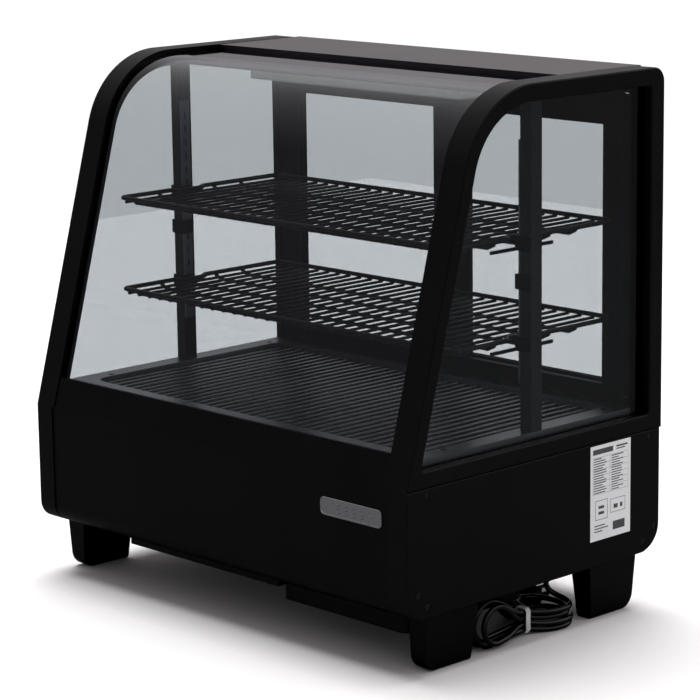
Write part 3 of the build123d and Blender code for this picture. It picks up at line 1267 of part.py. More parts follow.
# Plug: a round moulded body with three pins that point to the rear, lying beside the hank.
with BuildPart() as plug:
    with BuildSketch(Plane.XZ.offset(-PLUG_Y)):
        with Locations((PLUG_X, PLUG_RADIUS)):
            Circle(PLUG_RADIUS)
    extrude(amount=PLUG_LENGTH / 2, both=True)
    chamfer(plug.faces().filter_by(Axis.Y).edges(), length=2.0)
    with BuildSketch(Plane.XZ.offset(-PLUG_Y - PLUG_LENGTH / 2)):
        with Locations((PLUG_X, PLUG_RADIUS)):
            with GridLocations(PIN_SPACING, 1.0, 2, 1):
                Rectangle(PIN_THICK, PIN_WIDTH)
            with Locations((0, EARTH_PIN_RISE)):
                Circle(EARTH_PIN_RADIUS)
    extrude(amount=-PIN_LENGTH)
plug.part.label = "plug"
export_step(plug.part, "parts/plug.step")
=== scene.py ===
# %% [markdown]
# # A hot food display case
#
# The case is a black moulded shell with a bent glass front, glass ends and sliding glass doors.
# Its frame, panels and mechanism come ready made from the CAD model. This file gives every one of
# those parts a finish, and builds the pieces that need a mesh of their own: the wire shelves, the
# floor bars, the screws, the printing, the mains lead and its fittings.

# %% Load the frame
import bmesh
import bpy
import json
from math import cos, pi, radians, sin
from mathutils import Matrix, Vector


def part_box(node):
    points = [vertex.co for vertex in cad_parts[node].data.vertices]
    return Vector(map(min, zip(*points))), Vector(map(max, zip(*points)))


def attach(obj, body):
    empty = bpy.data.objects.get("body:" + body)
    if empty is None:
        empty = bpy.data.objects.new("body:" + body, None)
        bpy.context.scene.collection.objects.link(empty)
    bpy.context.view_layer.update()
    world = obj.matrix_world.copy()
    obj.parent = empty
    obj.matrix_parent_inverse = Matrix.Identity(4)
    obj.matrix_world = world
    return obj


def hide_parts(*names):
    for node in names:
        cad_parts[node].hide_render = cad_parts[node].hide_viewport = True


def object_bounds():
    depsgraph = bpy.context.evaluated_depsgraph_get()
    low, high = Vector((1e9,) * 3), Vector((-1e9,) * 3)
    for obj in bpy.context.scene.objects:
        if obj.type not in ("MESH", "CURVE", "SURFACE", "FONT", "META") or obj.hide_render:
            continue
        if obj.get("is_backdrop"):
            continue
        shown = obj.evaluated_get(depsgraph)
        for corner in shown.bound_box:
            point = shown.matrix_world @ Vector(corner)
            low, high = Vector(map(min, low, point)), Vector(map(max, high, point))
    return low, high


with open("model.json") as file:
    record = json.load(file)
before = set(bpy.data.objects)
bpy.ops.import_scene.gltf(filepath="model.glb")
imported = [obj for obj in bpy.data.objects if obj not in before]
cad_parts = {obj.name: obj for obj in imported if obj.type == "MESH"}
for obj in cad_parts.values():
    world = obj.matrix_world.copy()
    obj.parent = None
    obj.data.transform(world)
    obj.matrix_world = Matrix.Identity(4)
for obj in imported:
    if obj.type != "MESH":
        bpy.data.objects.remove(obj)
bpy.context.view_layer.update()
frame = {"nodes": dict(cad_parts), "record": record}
nodes = frame["nodes"]
MM = 0.001

# %% [markdown]
# ## Camera
#
# A long lens from the right front corner, a little above the roof, keeps the uprights almost
# parallel. The camera's axes are worked out from its bearing, its height angle and a slight roll.

# %% Camera
CAMERA_PLACE = Vector((2.4744, -2.3632, 1.0239))
CAMERA_BEARING = radians(46.114)
CAMERA_HEIGHT_ANGLE = radians(11.776)
CAMERA_ROLL = radians(-0.774)
LENS = 141.56

back = Vector((
    sin(CAMERA_BEARING) * cos(CAMERA_HEIGHT_ANGLE),
    -cos(CAMERA_BEARING) * cos(CAMERA_HEIGHT_ANGLE),
    sin(CAMERA_HEIGHT_ANGLE),
))
level_right = (-back).cross(Vector((0, 0, 1))).normalized()
level_up = level_right.cross(-back)
right = level_right * cos(CAMERA_ROLL) + level_up * sin(CAMERA_ROLL)
up = level_up * cos(CAMERA_ROLL) - level_right * sin(CAMERA_ROLL)
camera_data = bpy.data.cameras.new("camera")
camera_data.lens = LENS
camera_data.sensor_width = 36.0
camera_data.clip_end = 60.0
camera = bpy.data.objects.new("camera", camera_data)
bpy.context.scene.collection.objects.link(camera)
camera.matrix_world = Matrix.Translation(CAMERA_PLACE) @ Matrix((right, up, back)).transposed().to_4x4()
bpy.context.scene.camera = camera
print("camera lens in mm:", camera_data.lens)

# %% [markdown]
# ## Node trees as expressions
#
# Finishes and repeated pieces are both made of nodes. One small class wraps an output socket, so
# that `mask * 0.5 + 0.1` adds its Math nodes by itself. One method adds any other node: its type,
# its settings, and the value or the link of each socket.


# %% Signals and trees
class Signal:
    """An output socket that takes part in Python expressions."""

    def __init__(self, owner, socket):
        self.owner = owner
        self.socket = socket

    def maths(self, operation, first, second):
        return self.owner.node("ShaderNodeMath", {"operation": operation}, {0: first, 1: second})

    def __add__(self, other):
        return self.maths("ADD", self, other)

    def __sub__(self, other):
        return self.maths("SUBTRACT", self, other)

    def __rsub__(self, other):
        return self.maths("SUBTRACT", other, self)

    def __mul__(self, other):
        return self.maths("MULTIPLY", self, other)

    def power(self, exponent):
        return self.maths("POWER", self, exponent)

    __radd__ = __add__
    __rmul__ = __mul__


class Tree:
    """A node tree whose nodes all come from one method."""

    def __init__(self, tree):
        self.tree = tree

    def node(self, kind, settings=None, sockets=None, out=0):
        made = self.tree.nodes.new(kind)
        for name, value in (settings or {}).items():
            if name == "stops":
                self.set_stops(made.color_ramp, value)
            else:
                setattr(made, name, value)
        for name, value in (sockets or {}).items():
            for part in value if isinstance(value, list) else [value]:
                if isinstance(part, Signal):
                    self.tree.links.new(part.socket, made.inputs[name])
                else:
                    made.inputs[name].default_value = part
        return Signal(self, made.outputs[out]) if made.outputs else made

    def set_stops(self, ramp, stops):
        while len(ramp.elements) < len(stops):
            ramp.elements.new(0.5)
        for element, (position, colour) in zip(ramp.elements, stops):
            element.position = position
            element.color = (*colour, 1.0)

    def ramp(self, value, *stops):
        return self.node("ShaderNodeValToRGB", {"stops": stops}, {0: value})


print("ready to build node trees")


# %% [markdown]
# ## Finishes
#
# A finish is a Principled shader whose colour, roughness and bump change a little over the
# surface, as real coatings do. Patterns read Object coordinates in metres, so a noise scale of
# 1000 gives a grain of about a millimetre.


# %% The finish class
class Finish(Tree):
    """A node material on Object coordinates."""

    def __init__(self, name):
        self.material = bpy.data.materials.new(name)
        self.material.use_nodes = True
        super().__init__(self.material.node_tree)
        self.tree.nodes.clear()
        self.place = self.node("ShaderNodeTexCoord", out="Object")

    def stretched(self, stretch):
        return self.node("ShaderNodeMapping", {}, {"Vector": self.place, "Scale": stretch})

    def noise(self, scale, detail=3.0, stretch=None):
        place = self.stretched(stretch) if stretch else self.place
        return self.node("ShaderNodeTexNoise", {}, {"Vector": place, "Scale": scale, "Detail": detail})

    def mix(self, factor, first, second):
        colours = {0: factor, 6: (*first, 1.0), 7: (*second, 1.0)}
        return self.node("ShaderNodeMix", {"data_type": "RGBA"}, colours, out=2)

    def bump(self, height, strength, distance):
        sockets = {"Height": height, "Strength": strength, "Distance": distance}
        return self.node("ShaderNodeBump", {}, sockets)

    def principled(self, **sockets):
        named = {name.replace("_", " "): value for name, value in sockets.items()}
        return self.node("ShaderNodeBsdfPrincipled", {}, named)

    def shown(self, shader):
        self.node("ShaderNodeOutputMaterial", {}, {"Surface": shader})
        return self.material


finishes = {}


def coated(name, colour, worn, roughness, grain, grain_depth, specular=0.5, coat=0.0):
    """A moulded or painted surface: a mottled colour, uneven gloss and a fine grain."""
    finish = Finish(name)
    cloud = finish.noise(9.0, 4.0)
    height = finish.noise(grain, 2.0)
    shader = finish.principled(
        Base_Color=finish.mix(cloud, colour, worn),
        Roughness=cloud * 0.12 + (roughness - 0.06),
        Specular_IOR_Level=specular,
        Coat_Weight=coat,
        Coat_Roughness=0.2,
        Normal=finish.bump(height, 0.35, grain_depth),
    )
    finishes[name] = finish.shown(shader)


# %% [markdown]
# ### Black plastic, black steel and the roof
#
# The end frames, side panels and feet are moulded, with a spark-eroded grain. The base front and
# the rear panel are powder-coated sheet, whose grain is a softer orange peel. The roof has the same
# coat in a slightly warmer black, and looks lighter because it faces the lamps at a low angle.

# %% Coated finishes
coated("black_plastic", (0.0035, 0.0035, 0.004), (0.006, 0.006, 0.0065), 0.4, 1100.0, 0.00016, 0.12)
coated("black_steel", (0.003, 0.003, 0.0035), (0.005, 0.005, 0.0055), 0.34, 420.0, 0.00014, 0.12)
coated("roof_steel", (0.014, 0.011, 0.013), (0.03, 0.025, 0.028), 0.33, 500.0, 0.0001, 0.6)
coated("rubber_seal", (0.005, 0.005, 0.005), (0.009, 0.009, 0.009), 0.7, 1500.0, 0.00006, 0.1)
coated("black_wire", (0.004, 0.004, 0.005), (0.008, 0.008, 0.009), 0.26, 700.0, 0.00005, 0.35)
coated("dark_post", (0.013, 0.0145, 0.018), (0.02, 0.022, 0.027), 0.3, 800.0, 0.00005, 0.45)
coated("control_plastic", (0.008, 0.008, 0.009), (0.013, 0.013, 0.014), 0.4, 1600.0, 0.00006, 0.4)
coated("lamp_body", (0.62, 0.62, 0.6), (0.7, 0.7, 0.68), 0.4, 500.0, 0.00005)
coated("lamp_tube", (0.75, 0.76, 0.74), (0.82, 0.83, 0.82), 0.18, 300.0, 0.00001)
coated("terminal", (0.62, 0.58, 0.48), (0.7, 0.66, 0.56), 0.45, 900.0, 0.00004)
coated("label", (0.72, 0.73, 0.74), (0.8, 0.81, 0.82), 0.34, 600.0, 0.00001, 0.4)
coated("tie", (0.6, 0.6, 0.58), (0.72, 0.72, 0.7), 0.38, 900.0, 0.00004, 0.4)
coated("cord", (0.0025, 0.0025, 0.003), (0.005, 0.005, 0.0055), 0.24, 1400.0, 0.00006, 0.5)
coated("screw", (0.006, 0.006, 0.007), (0.012, 0.012, 0.013), 0.3, 2000.0, 0.00002, 0.4)
print("coated finishes:", len(finishes))

# %% [markdown]
# ### Metals
#
# Sheet steel is rolled, so its fine scratches run one way: a noise stretched along that way does
# it. Zinc plate shows a faint spangle of flat crystals, which a Voronoi cell pattern gives.


# %% Metal finishes
def rolled(name, dark, light, roughness, stretch, strength=0.2, metallic=1.0):
    """Rolled or brushed metal, whose scratches run along the smallest part of stretch."""
    finish = Finish(name)
    scratch = finish.noise(260.0, 5.0, stretch)
    cloud = finish.noise(7.0, 3.0)
    shader = finish.principled(
        Base_Color=finish.mix(scratch * 0.6 + cloud * 0.4, dark, light),
        Metallic=metallic,
        Roughness=scratch * 0.16 + cloud * 0.08 + (roughness - 0.12),
        Normal=finish.bump(scratch, strength, 0.00003),
    )
    finishes[name] = finish.shown(shader)


def spangled(name, dark, light, roughness):
    """Galvanised sheet: flat crystals of slightly different grey."""
    finish = Finish(name)
    spangle = {"Vector": finish.place, "Scale": 110.0}
    cells = finish.node("ShaderNodeTexVoronoi", {}, spangle, out="Color")
    grey = finish.node("ShaderNodeRGBToBW", {}, {0: cells})
    shader = finish.principled(
        Base_Color=finish.mix(grey, dark, light),
        Metallic=0.9,
        Roughness=grey * 0.2 + roughness,
        Normal=finish.bump(grey, 0.1, 0.00004),
    )
    finishes[name] = finish.shown(shader)


ALONG_X = (0.06, 1.0, 1.0)
ALONG_Y = (1.0, 0.06, 1.0)
ALONG_Z = (1.0, 1.0, 0.06)
rolled("polished_steel", (0.34, 0.35, 0.365), (0.52, 0.53, 0.545), 0.32, ALONG_Y)
rolled("slot_strip", (0.16, 0.185, 0.21), (0.26, 0.3, 0.34), 0.36, ALONG_Z, 0.2, 0.45)
# The floor bars use the floor plate's polished steel, painted darker: this is painted shade, not a
# different metal.
rolled("bar_steel", (0.16, 0.165, 0.17), (0.36, 0.365, 0.375), 0.24, ALONG_Y)
rolled("badge", (0.5, 0.51, 0.53), (0.72, 0.73, 0.75), 0.28, ALONG_X, 0.35)
rolled("heater", (0.1, 0.085, 0.075), (0.22, 0.19, 0.17), 0.4, ALONG_X)
rolled("motor", (0.2, 0.2, 0.21), (0.34, 0.34, 0.35), 0.42, ALONG_Z)
rolled("fan", (0.45, 0.46, 0.47), (0.62, 0.63, 0.64), 0.3, ALONG_X)
spangled("zinc_steel", (0.3, 0.31, 0.32), (0.5, 0.51, 0.52), 0.3)
print("finishes so far:", len(finishes))

# %% [markdown]
# ### Glass and clear plastic
#
# A flat pane hardly bends the view, so each of its faces is made as a tinted see-through shader with
# a mirror shader on top. A Fresnel node would take the far face for the inside of a block and turn
# it into a full mirror, so the mirror's share is worked out from how edge-on the face is seen, by
# Schlick's rule, which is the same from both sides. Faint wiping smears vary it a little.


# %% Clear finishes
def clear(name, tint, gloss_colour, roughness, smear, body=0.0, coating=0.04):
    """A see-through face whose mirror grows at low angles; body is its share of milky filling."""
    finish = Finish(name)
    inside = finish.node("ShaderNodeBsdfTransparent", {}, {"Color": (*tint, 1.0)})
    if body:
        milk = finish.principled(Base_Color=(0.8, 0.81, 0.8, 1.0), Roughness=0.5)
        inside = finish.node("ShaderNodeMixShader", {}, {0: body, 1: inside, 2: milk})
    mirror = finish.principled(Base_Color=(*gloss_colour, 1.0), Metallic=1.0, Roughness=roughness)
    edge_on = finish.node("ShaderNodeLayerWeight", {}, {"Blend": 0.5}, out="Facing")
    schlick = edge_on.power(5) * (1 - coating) + coating
    wiped = finish.noise(5.0, 4.0, (1.0, 1.0, 0.35))
    factor = schlick * (wiped * (2.0 * smear) + (1.0 - smear))
    pane = finish.node("ShaderNodeMixShader", {}, {0: factor, 1: inside, 2: mirror})
    finishes[name] = finish.shown(pane)


clear("clear_glass", (0.796, 0.813, 0.821), (0.9, 0.93, 0.96), 0.03, 0.12)
clear("lamp_lens", (0.9, 0.9, 0.9), (0.9, 0.9, 0.9), 0.15, 0.1, 0.5)
print("finishes with the clear ones:", len(finishes))

# %% [markdown]
# ### Lit plastic
#
# The rockers and the display digits are lit from behind. Emission in the Principled shader does it
# without a lamp inside, and a fine noise keeps the glow from looking painted.


# %% Lit finishes
def lit(name, colour, glow):
    """Coloured plastic that glows unevenly, as with a small lamp behind it."""
    finish = Finish(name)
    cloud = finish.noise(120.0, 2.0)
    shader = finish.principled(
        Base_Color=finish.mix(cloud, colour, tuple(0.7 * part for part in colour)),
        Roughness=0.25,
        Emission_Color=finish.mix(cloud, colour, tuple(0.5 * part for part in colour)),
        Emission_Strength=glow,
    )
    finishes[name] = finish.shown(shader)


lit("rocker_green", (0.02, 0.42, 0.08), 0.25)
print("finishes:", len(finishes))

# %% [markdown]
# ## Dress the CAD parts
#
# The record says which finish each part has, so one loop gives all sixty their material. The bottom
# pan is galvanised sheet with the same black coat as the base front on it, as its thin visible edge
# shows. Parts that a detailed piece stands for are dressed too, and are hidden later.

# %% Give every CAD node its finish
slots = {part["node"]: part["material_slot"] for part in frame["record"]["subparts"]}
for name, node in nodes.items():
    node.data.materials.clear()
    node.data.materials.append(finishes["black_steel" if name == "bottom_pan" else slots[name]])
print("dressed:", len(slots))

# %% [markdown]
# ## The mains lead
#
# The lead is one fixed length of round PVC cable. It leaves the case by a nut under the base, and is
# folded into a hank beside the right feet, where a white tie holds its turns together. A single
# smooth NURBS spline carries the whole route: its points stand for where a hand would lay the lead.
# Each turn of the hank is a loop in front of the tie and a loop behind it. A turn meets the tie in
# one of its two columns and one of its four rows.

# %% Places on the hank, in mm
LEAD_RADIUS = 0.0035
STEP = 7.3
TIE_X, TIE_Y, TIE_Z = 309.0, 4.0, 18.8
REAR_X, REAR_Y = 292.5, 54.0
ROW_LEVELS = (None, 3.7, 11.0, 18.3, 25.6)
REAR_OUTLINE = (
    (8.5, -33.5), (-3.5, -27.5), (-20, -21), (-30.5, -12), (-35.5, 0.5),
    (-33, 14), (-24.5, 26), (-12.5, 34), (1, 36.5), (14.5, 33.5),
    (25.5, 25.5), (33, 14.5), (35.5, 1.5), (33.5, -11.5), (28, -24),
)


def eased(part):
    part = min(max(part, 0.0), 1.0)
    return part * part * (3 - 2 * part)


def between(first, last, part):
    return first + (last - first) * part


def at_tie(column, row):
    return TIE_X + (column - 0.5) * STEP, TIE_Z + (row - 2.5) * STEP


print("the middle of the tie, in mm:", TIE_X, TIE_Y, TIE_Z)

# %% [markdown]
# ### Loops behind the tie
#
# Behind the tie the loops lie flat and round, and rest on one another. A loop starts in one column,
# runs round the same outline as the others at its own size and level, and comes back in the other
# column.


# %% A loop behind the tie
def rear_loop(column, row_in, row_out, level_in, level_out, size, shift_x=0.0, shift_y=0.0):
    x_in, z_in = at_tie(column, row_in)
    x_out, z_out = at_tie(1 - column, row_out)
    outline = REAR_OUTLINE if column == 0 else REAR_OUTLINE[::-1]
    points = [(x_in, TIE_Y, z_in), (x_in, TIE_Y + 8, between(z_in, level_in, 0.2))]
    for index, (x, y) in enumerate(outline):
        part = index / (len(outline) - 1)
        level = between(level_in, level_out, eased((part - 0.25) * 2))
        points.append((REAR_X + shift_x + x * size, REAR_Y + shift_y + y * size, level))
    points += [(x_out, TIE_Y + 8, between(z_out, level_out, 0.2)), (x_out, TIE_Y, z_out)]
    return points


# %% [markdown]
# ### Loops in front of the tie
#
# In front of the tie the loops stand on edge, one beside the other, and lean to their own side. A
# loop leaves the tie in one row, rounds its far end and comes back in another row.


# %% A loop in front of the tie
def front_loop(column, row_in, row_out, far_x, radius, centre_y, centre_z):
    x_in, z_in = at_tie(column, row_in)
    z_out = at_tie(column, row_out)[1]
    way = 1 if z_in > z_out else -1
    bow = []
    for index in range(9):
        angle = radians(66 + 228 * index / 8)
        reach = 1.03 * radius
        bow.append((centre_y + reach * cos(angle), centre_z + way * reach * sin(angle)))

    def neck(z_end, bow_end):
        y_start = TIE_Y - 12
        return [
            (TIE_Y, z_end),
            (y_start, between(z_end, bow_end[1], 0.04)),
            (between(y_start, bow_end[0], 0.36), between(z_end, bow_end[1], 0.30)),
            (between(y_start, bow_end[0], 0.68), between(z_end, bow_end[1], 0.74)),
        ]

    profile = neck(z_in, bow[0]) + bow + neck(z_out, bow[-1])[::-1]
    return [(between(x_in, far_x, eased((TIE_Y - 3 - y) / 46)), y, z) for y, z in profile]


# %% [markdown]
# ### The whole route
#
# The lead drops from its nut, sweeps round the outside of the hank into the tie, makes its seven
# loops and leaves for the plug, which lies on the floor under the case.

# %% The route and its curve
from_nut = [
    (285, 72, 53), (285, 72, 44), (288, 76, 36), (295, 82, 30.5), (305, 85, 27.5),
    (315.5, 81.5, 26.2), (324, 73, 25.8), (328.3, 61, 25.6), (328, 47.5, 25.6),
    (324, 34, 25.8), (317.5, 22, 26.8),
]
to_plug = [
    (304.6, 16, 19.2), (298.5, 25.5, 19.6), (288, 29.3, 19.4), (276, 29.5, 18.9),
    (263, 31, 17.6), (251, 35, 15.8), (241, 43, 14), (236, 53, 13), (236, 64, 13),
]
turns = front_loop(1, 4, 1, 316.5, 27.2, -63, 31)
turns += rear_loop(1, 1, 1, ROW_LEVELS[1], ROW_LEVELS[1], 1.0)[1:]
turns += front_loop(0, 1, 4, 305.7, 28, -64, 31.6)[1:]
turns += rear_loop(0, 4, 3, ROW_LEVELS[4], ROW_LEVELS[3], 0.95, -0.5, -1)[1:]
turns += front_loop(1, 3, 2, 325, 22.6, -58.5, 30)[1:]
turns += rear_loop(1, 2, 2, ROW_LEVELS[2], ROW_LEVELS[2], 1.02, 0.5, 1)[1:]
turns += front_loop(0, 2, 3, 308.3, 21.6, -62.5, 31.8)[1:]
route = [Vector(point) * MM for point in from_nut + turns + to_plug]

lead_data = bpy.data.curves.new("mains_cord", "CURVE")
lead_data.dimensions = "3D"
lead_data.bevel_depth = LEAD_RADIUS
lead_data.bevel_resolution = 4
lead_data.resolution_u = 6
lead_data.use_fill_caps = True
spline = lead_data.splines.new("NURBS")
spline.points.add(len(route) - 1)
for control, place in zip(spline.points, route):
    control.co = (*place, 1.0)
spline.order_u = 3
spline.use_endpoint_u = True
lead_data.materials.append(finishes["cord"])
mains_cord = bpy.data.objects.new("mains_cord", lead_data)
bpy.context.scene.collection.objects.link(mains_cord)
print("route points:", len(route))

# %% [markdown]
# ## Meshes from rings
#
# The nut's sleeve and the tie are both skins laid over a row of rings. One helper joins ring to ring
# with faces, and either closes the row on itself or caps its two ends.


# %% Helpers for meshes
def finished(name, mesh, finish, body, replaced=()):
    """Links a mesh as a piece with its finish, its body and the parts that it stands for."""
    mesh.materials.clear()
    mesh.materials.append(finishes[finish])
    piece = bpy.data.objects.new(name, mesh)
    bpy.context.scene.collection.objects.link(piece)
    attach(piece, body)
    if replaced:
        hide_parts(*replaced)
    print(name, "faces:", len(mesh.polygons))
    return piece


def skin_over(name, rings, closed=False, smooth=True):
    """A mesh whose faces join each ring of points to the next."""
    build = bmesh.new()
    loops = [[build.verts.new(point) for point in ring] for ring in rings]
    pairs = list(zip(loops, loops[1:]))
    if closed:
        pairs.append((loops[-1], loops[0]))
    else:
        build.faces.new(loops[0])
        build.faces.new(loops[-1])
    for low, high in pairs:
        for index in range(len(low)):
            after = (index + 1) % len(low)
            build.faces.new((low[index], low[after], high[after], high[index]))
    bmesh.ops.recalc_face_normals(build, faces=build.faces)
    for face in build.faces:
        face.smooth = smooth
    mesh = bpy.data.meshes.new(name)
    build.to_mesh(mesh)
    build.free()
    return mesh


# %% [markdown]
# ### The strain relief
#
# A lead may not bend sharply where it leaves the case. A hexagon nut holds a tapered rubber sleeve
# round it, with ribs that let the sleeve bend evenly. The nut is six-sided rings with bevelled ends,
# and the sleeve is round rings whose radius steps in and out.

# %% The nut and its sleeve
NUT_LOW, NUT_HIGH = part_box("cord_gland")
GLAND_X, GLAND_Y = 0.285, 0.072
NUT_FOOT, SLEEVE_END = 0.059, 0.0475
NUT_BEVEL = 0.0012
RIBS, RIB_HEIGHT = 8, 0.0007
SLEEVE_TOP_RADIUS, SLEEVE_END_RADIUS, SLEEVE_HOLE = 0.0066, 0.0046, 0.0041
nut_half = (NUT_HIGH.x - NUT_LOW.x) / 2
nut_flat = nut_half * cos(pi / 6)


def flat_ring(radius, height, sides=36):
    angles = [2 * pi * index / sides for index in range(sides)]
    return [(GLAND_X + radius * cos(a), GLAND_Y + radius * sin(a), height) for a in angles]


def nut_ring(radius, height):
    """Thirty-six points on a hexagon, with its corners turned down where the radius is small."""
    ring = []
    for index in range(36):
        angle = 2 * pi * index / 36
        to_flat = (angle % (pi / 3)) - pi / 6
        reach = min(radius, nut_flat / cos(to_flat))
        ring.append((GLAND_X + reach * cos(angle), GLAND_Y + reach * sin(angle), height))
    return ring


rings = [
    nut_ring(nut_flat * 0.98, NUT_HIGH.z),
    nut_ring(nut_half * 0.999, NUT_HIGH.z - NUT_BEVEL),
    nut_ring(nut_half * 0.999, NUT_FOOT + NUT_BEVEL),
    nut_ring(nut_flat * 0.98, NUT_FOOT),
]
pitch = (NUT_FOOT - SLEEVE_END) / RIBS
for rib in range(RIBS):
    top = between(NUT_FOOT, SLEEVE_END, rib / RIBS)
    wide = between(SLEEVE_TOP_RADIUS, SLEEVE_END_RADIUS, rib / RIBS)
    narrow = wide - RIB_HEIGHT
    for part, reach in ((0.0, narrow), (0.25, narrow), (0.4, wide), (0.85, wide)):
        rings.append(flat_ring(reach, top - part * pitch))
rings.append(flat_ring(SLEEVE_HOLE, SLEEVE_END))
sleeve_mesh = skin_over("strain_relief", rings, smooth=False)
strain_relief = finished("strain_relief", sleeve_mesh, "black_plastic", "case", ["cord_gland"])

# %% [markdown]
# ### The tie
#
# The tie is a soft white plastic band. It hugs the eight runs of lead, so it bulges a little over
# each of them. Its section is a thin strip with rounded edges, set at steps round a rounded box.

# %% The tie
TIE_LOW, TIE_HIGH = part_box("cord_tie")
tie_mid = (TIE_LOW + TIE_HIGH) / 2
TIE_THICK = 0.0011
TIE_SLACK = 0.0002
tie_half_x = (TIE_HIGH.x - TIE_LOW.x) / 2 - TIE_SLACK
tie_half_z = (TIE_HIGH.z - TIE_LOW.z) / 2 - TIE_SLACK


def tie_point(angle, reach, y):
    """A point on a rounded box whose outline swells eight times on its way round."""
    square_x = abs(cos(angle)) ** 0.42 * (1 if cos(angle) >= 0 else -1)
    square_z = abs(sin(angle)) ** 0.36 * (1 if sin(angle) >= 0 else -1)
    swell = 0.00025 * (1 + cos(8 * angle))
    x = (tie_half_x - reach - swell) * square_x
    z = (tie_half_z - reach - swell) * square_z
    return (tie_mid.x + x, y, tie_mid.z + z)


band_section = [
    (0.0, TIE_LOW.y + 0.0008), (0.0, TIE_HIGH.y - 0.0008),
    (0.0003, TIE_HIGH.y - 0.0002), (TIE_THICK, TIE_HIGH.y - 0.0004),
    (TIE_THICK, TIE_LOW.y + 0.0004), (0.0003, TIE_LOW.y + 0.0002),
]
band = []
for index in range(72):
    angle = 2 * pi * index / 72
    band.append([tie_point(angle, reach, y) for reach, y in band_section])
tie_mesh = skin_over("tie_band", band, closed=True)
tie_band = finished("tie_band", tie_mesh, "tie", "case", ["cord_tie"])

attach(mains_cord, "case")
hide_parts("power_cord", "cord_hank")

# %% [markdown]
# ## Patterns that repeat
#
# The shelves are rows of equal wires, the floor is a row of equal bars, and the screws are one screw
# in many places. Geometry Nodes suit all of these: the tree says how one is made and where the rest
# go, and its named inputs hold the sizes. The result is turned into a plain mesh at the end.


# %% The pattern class
class Pattern(Tree):
    """A Geometry Nodes tree with named sizes, run once on a mesh to make a piece."""

    def __init__(self, name, sizes):
        super().__init__(bpy.data.node_groups.new(name, "GeometryNodeTree"))
        self.name = name
        interface = self.tree.interface
        interface.new_socket("Geometry", in_out="INPUT", socket_type="NodeSocketGeometry")
        interface.new_socket("Geometry", in_out="OUTPUT", socket_type="NodeSocketGeometry")
        self.values = {}
        for label, value in sizes.items():
            kind = "NodeSocketInt" if isinstance(value, int) else "NodeSocketFloat"
            item = interface.new_socket(label, in_out="INPUT", socket_type=kind)
            self.values[item.identifier] = value
        self.inlet = self.tree.nodes.new("NodeGroupInput")
        self.base = self.size("Geometry")

    def size(self, label):
        return Signal(self, self.inlet.outputs[label])

    def vector(self, x=0.0, y=0.0, z=0.0):
        return self.node("ShaderNodeCombineXYZ", {}, {0: x, 1: y, 2: z})

    def joined(self, *parts):
        return self.node("GeometryNodeJoinGeometry", {}, {0: list(parts)})

    def row_of(self, thing, count, start, step, turn=None):
        """Copies of a thing along a straight row."""
        places = {"Count": count, "Start Location": start, "Offset": step}
        line = self.node("GeometryNodeMeshLine", {}, places)
        return self.node("GeometryNodeInstanceOnPoints", {}, {"Points": line, "Instance": thing})

    def straight(self, start, end):
        return self.node("GeometryNodeCurvePrimitiveLine", {}, {"Start": start, "End": end})

    def through_middle(self, length, along):
        """A straight line along X or Y, whose middle is at the origin."""
        half = length * 0.5
        ends = {"X": ((half * -1, 0.0), (half, 0.0)), "Y": ((0.0, half * -1), (0.0, half))}[along]
        return self.straight(self.vector(*ends[0]), self.vector(*ends[1]))

    def swept(self, path, section):
        """A section carried along a path, with closed ends."""
        sockets = {"Curve": path, "Profile Curve": section, "Fill Caps": True}
        return self.node("GeometryNodeCurveToMesh", {}, sockets)

    def tube(self, path, radius, sides=12):
        sockets = {"Resolution": sides, "Radius": radius}
        return self.swept(path, self.node("GeometryNodeCurvePrimitiveCircle", {}, sockets))

    def stored(self, label):
        """A vector that each starting point carries."""
        kind = {"data_type": "FLOAT_VECTOR"}
        return self.node("GeometryNodeInputNamedAttribute", kind, {"Name": label})

    def mesh(self, result, finish, points=(), edges=(), stored=None):
        """Runs the tree on starting points and edges, and returns the plain mesh."""
        real = self.node("GeometryNodeRealizeInstances", {}, {0: result})
        dressed = self.node("GeometryNodeSetMaterial", {}, {0: real, "Material": finishes[finish]})
        self.node("NodeGroupOutput", {}, {0: dressed})
        start = bpy.data.meshes.new(self.name + "_start")
        start.from_pydata(points, edges, [])
        for label, values in (stored or {}).items():
            store = start.attributes.new(label, "FLOAT_VECTOR", "POINT")
            for item, value in zip(store.data, values):
                item.vector = value
        host = bpy.data.objects.new(self.name + "_host", start)
        bpy.context.scene.collection.objects.link(host)
        modifier = host.modifiers.new(self.name, "NODES")
        modifier.node_group = self.tree
        for identifier, value in self.values.items():
            modifier[identifier] = value
        depsgraph = bpy.context.evaluated_depsgraph_get()
        made = bpy.data.meshes.new_from_object(host.evaluated_get(depsgraph), depsgraph=depsgraph)
        made.name = self.name
        host.modifiers.remove(modifier)
        bpy.data.objects.remove(host)
        return made


# %% [markdown]
# ### Wire shelves
#
# A shelf is a thick rim wire with long thin wires welded under it from front to rear, and a few
# stouter wires under those. The rim steps in at each end to clear the upright post. Its outline is
# the starting mesh: the tree rounds the corners and lays a round wire along it. The cross wires turn
# up to the rim at both ends, except the middle one, whose end the post would foul.

# %% Shelf sizes
RIM_WIRE = 0.003  # radius, as with the other two wires
RIM_CORNER = 0.008
LONG_WIRE = 0.002
CROSS_WIRE = 0.0025
WELD = 0.0007  # how far one wire is pressed into the next
LONG_PITCH = 0.0207
CROSS_PITCH = 0.048
CROSS_BACK = 0.001  # the cross wires' middle, in front of the notch's middle
RISE_LAP = 0.001  # how far a cross wire's risen end reaches back over its straight run
NOTCH_DEPTH = 0.010
NOTCH_HALF = 0.024
NOTCH_MIDDLE = 0.0105


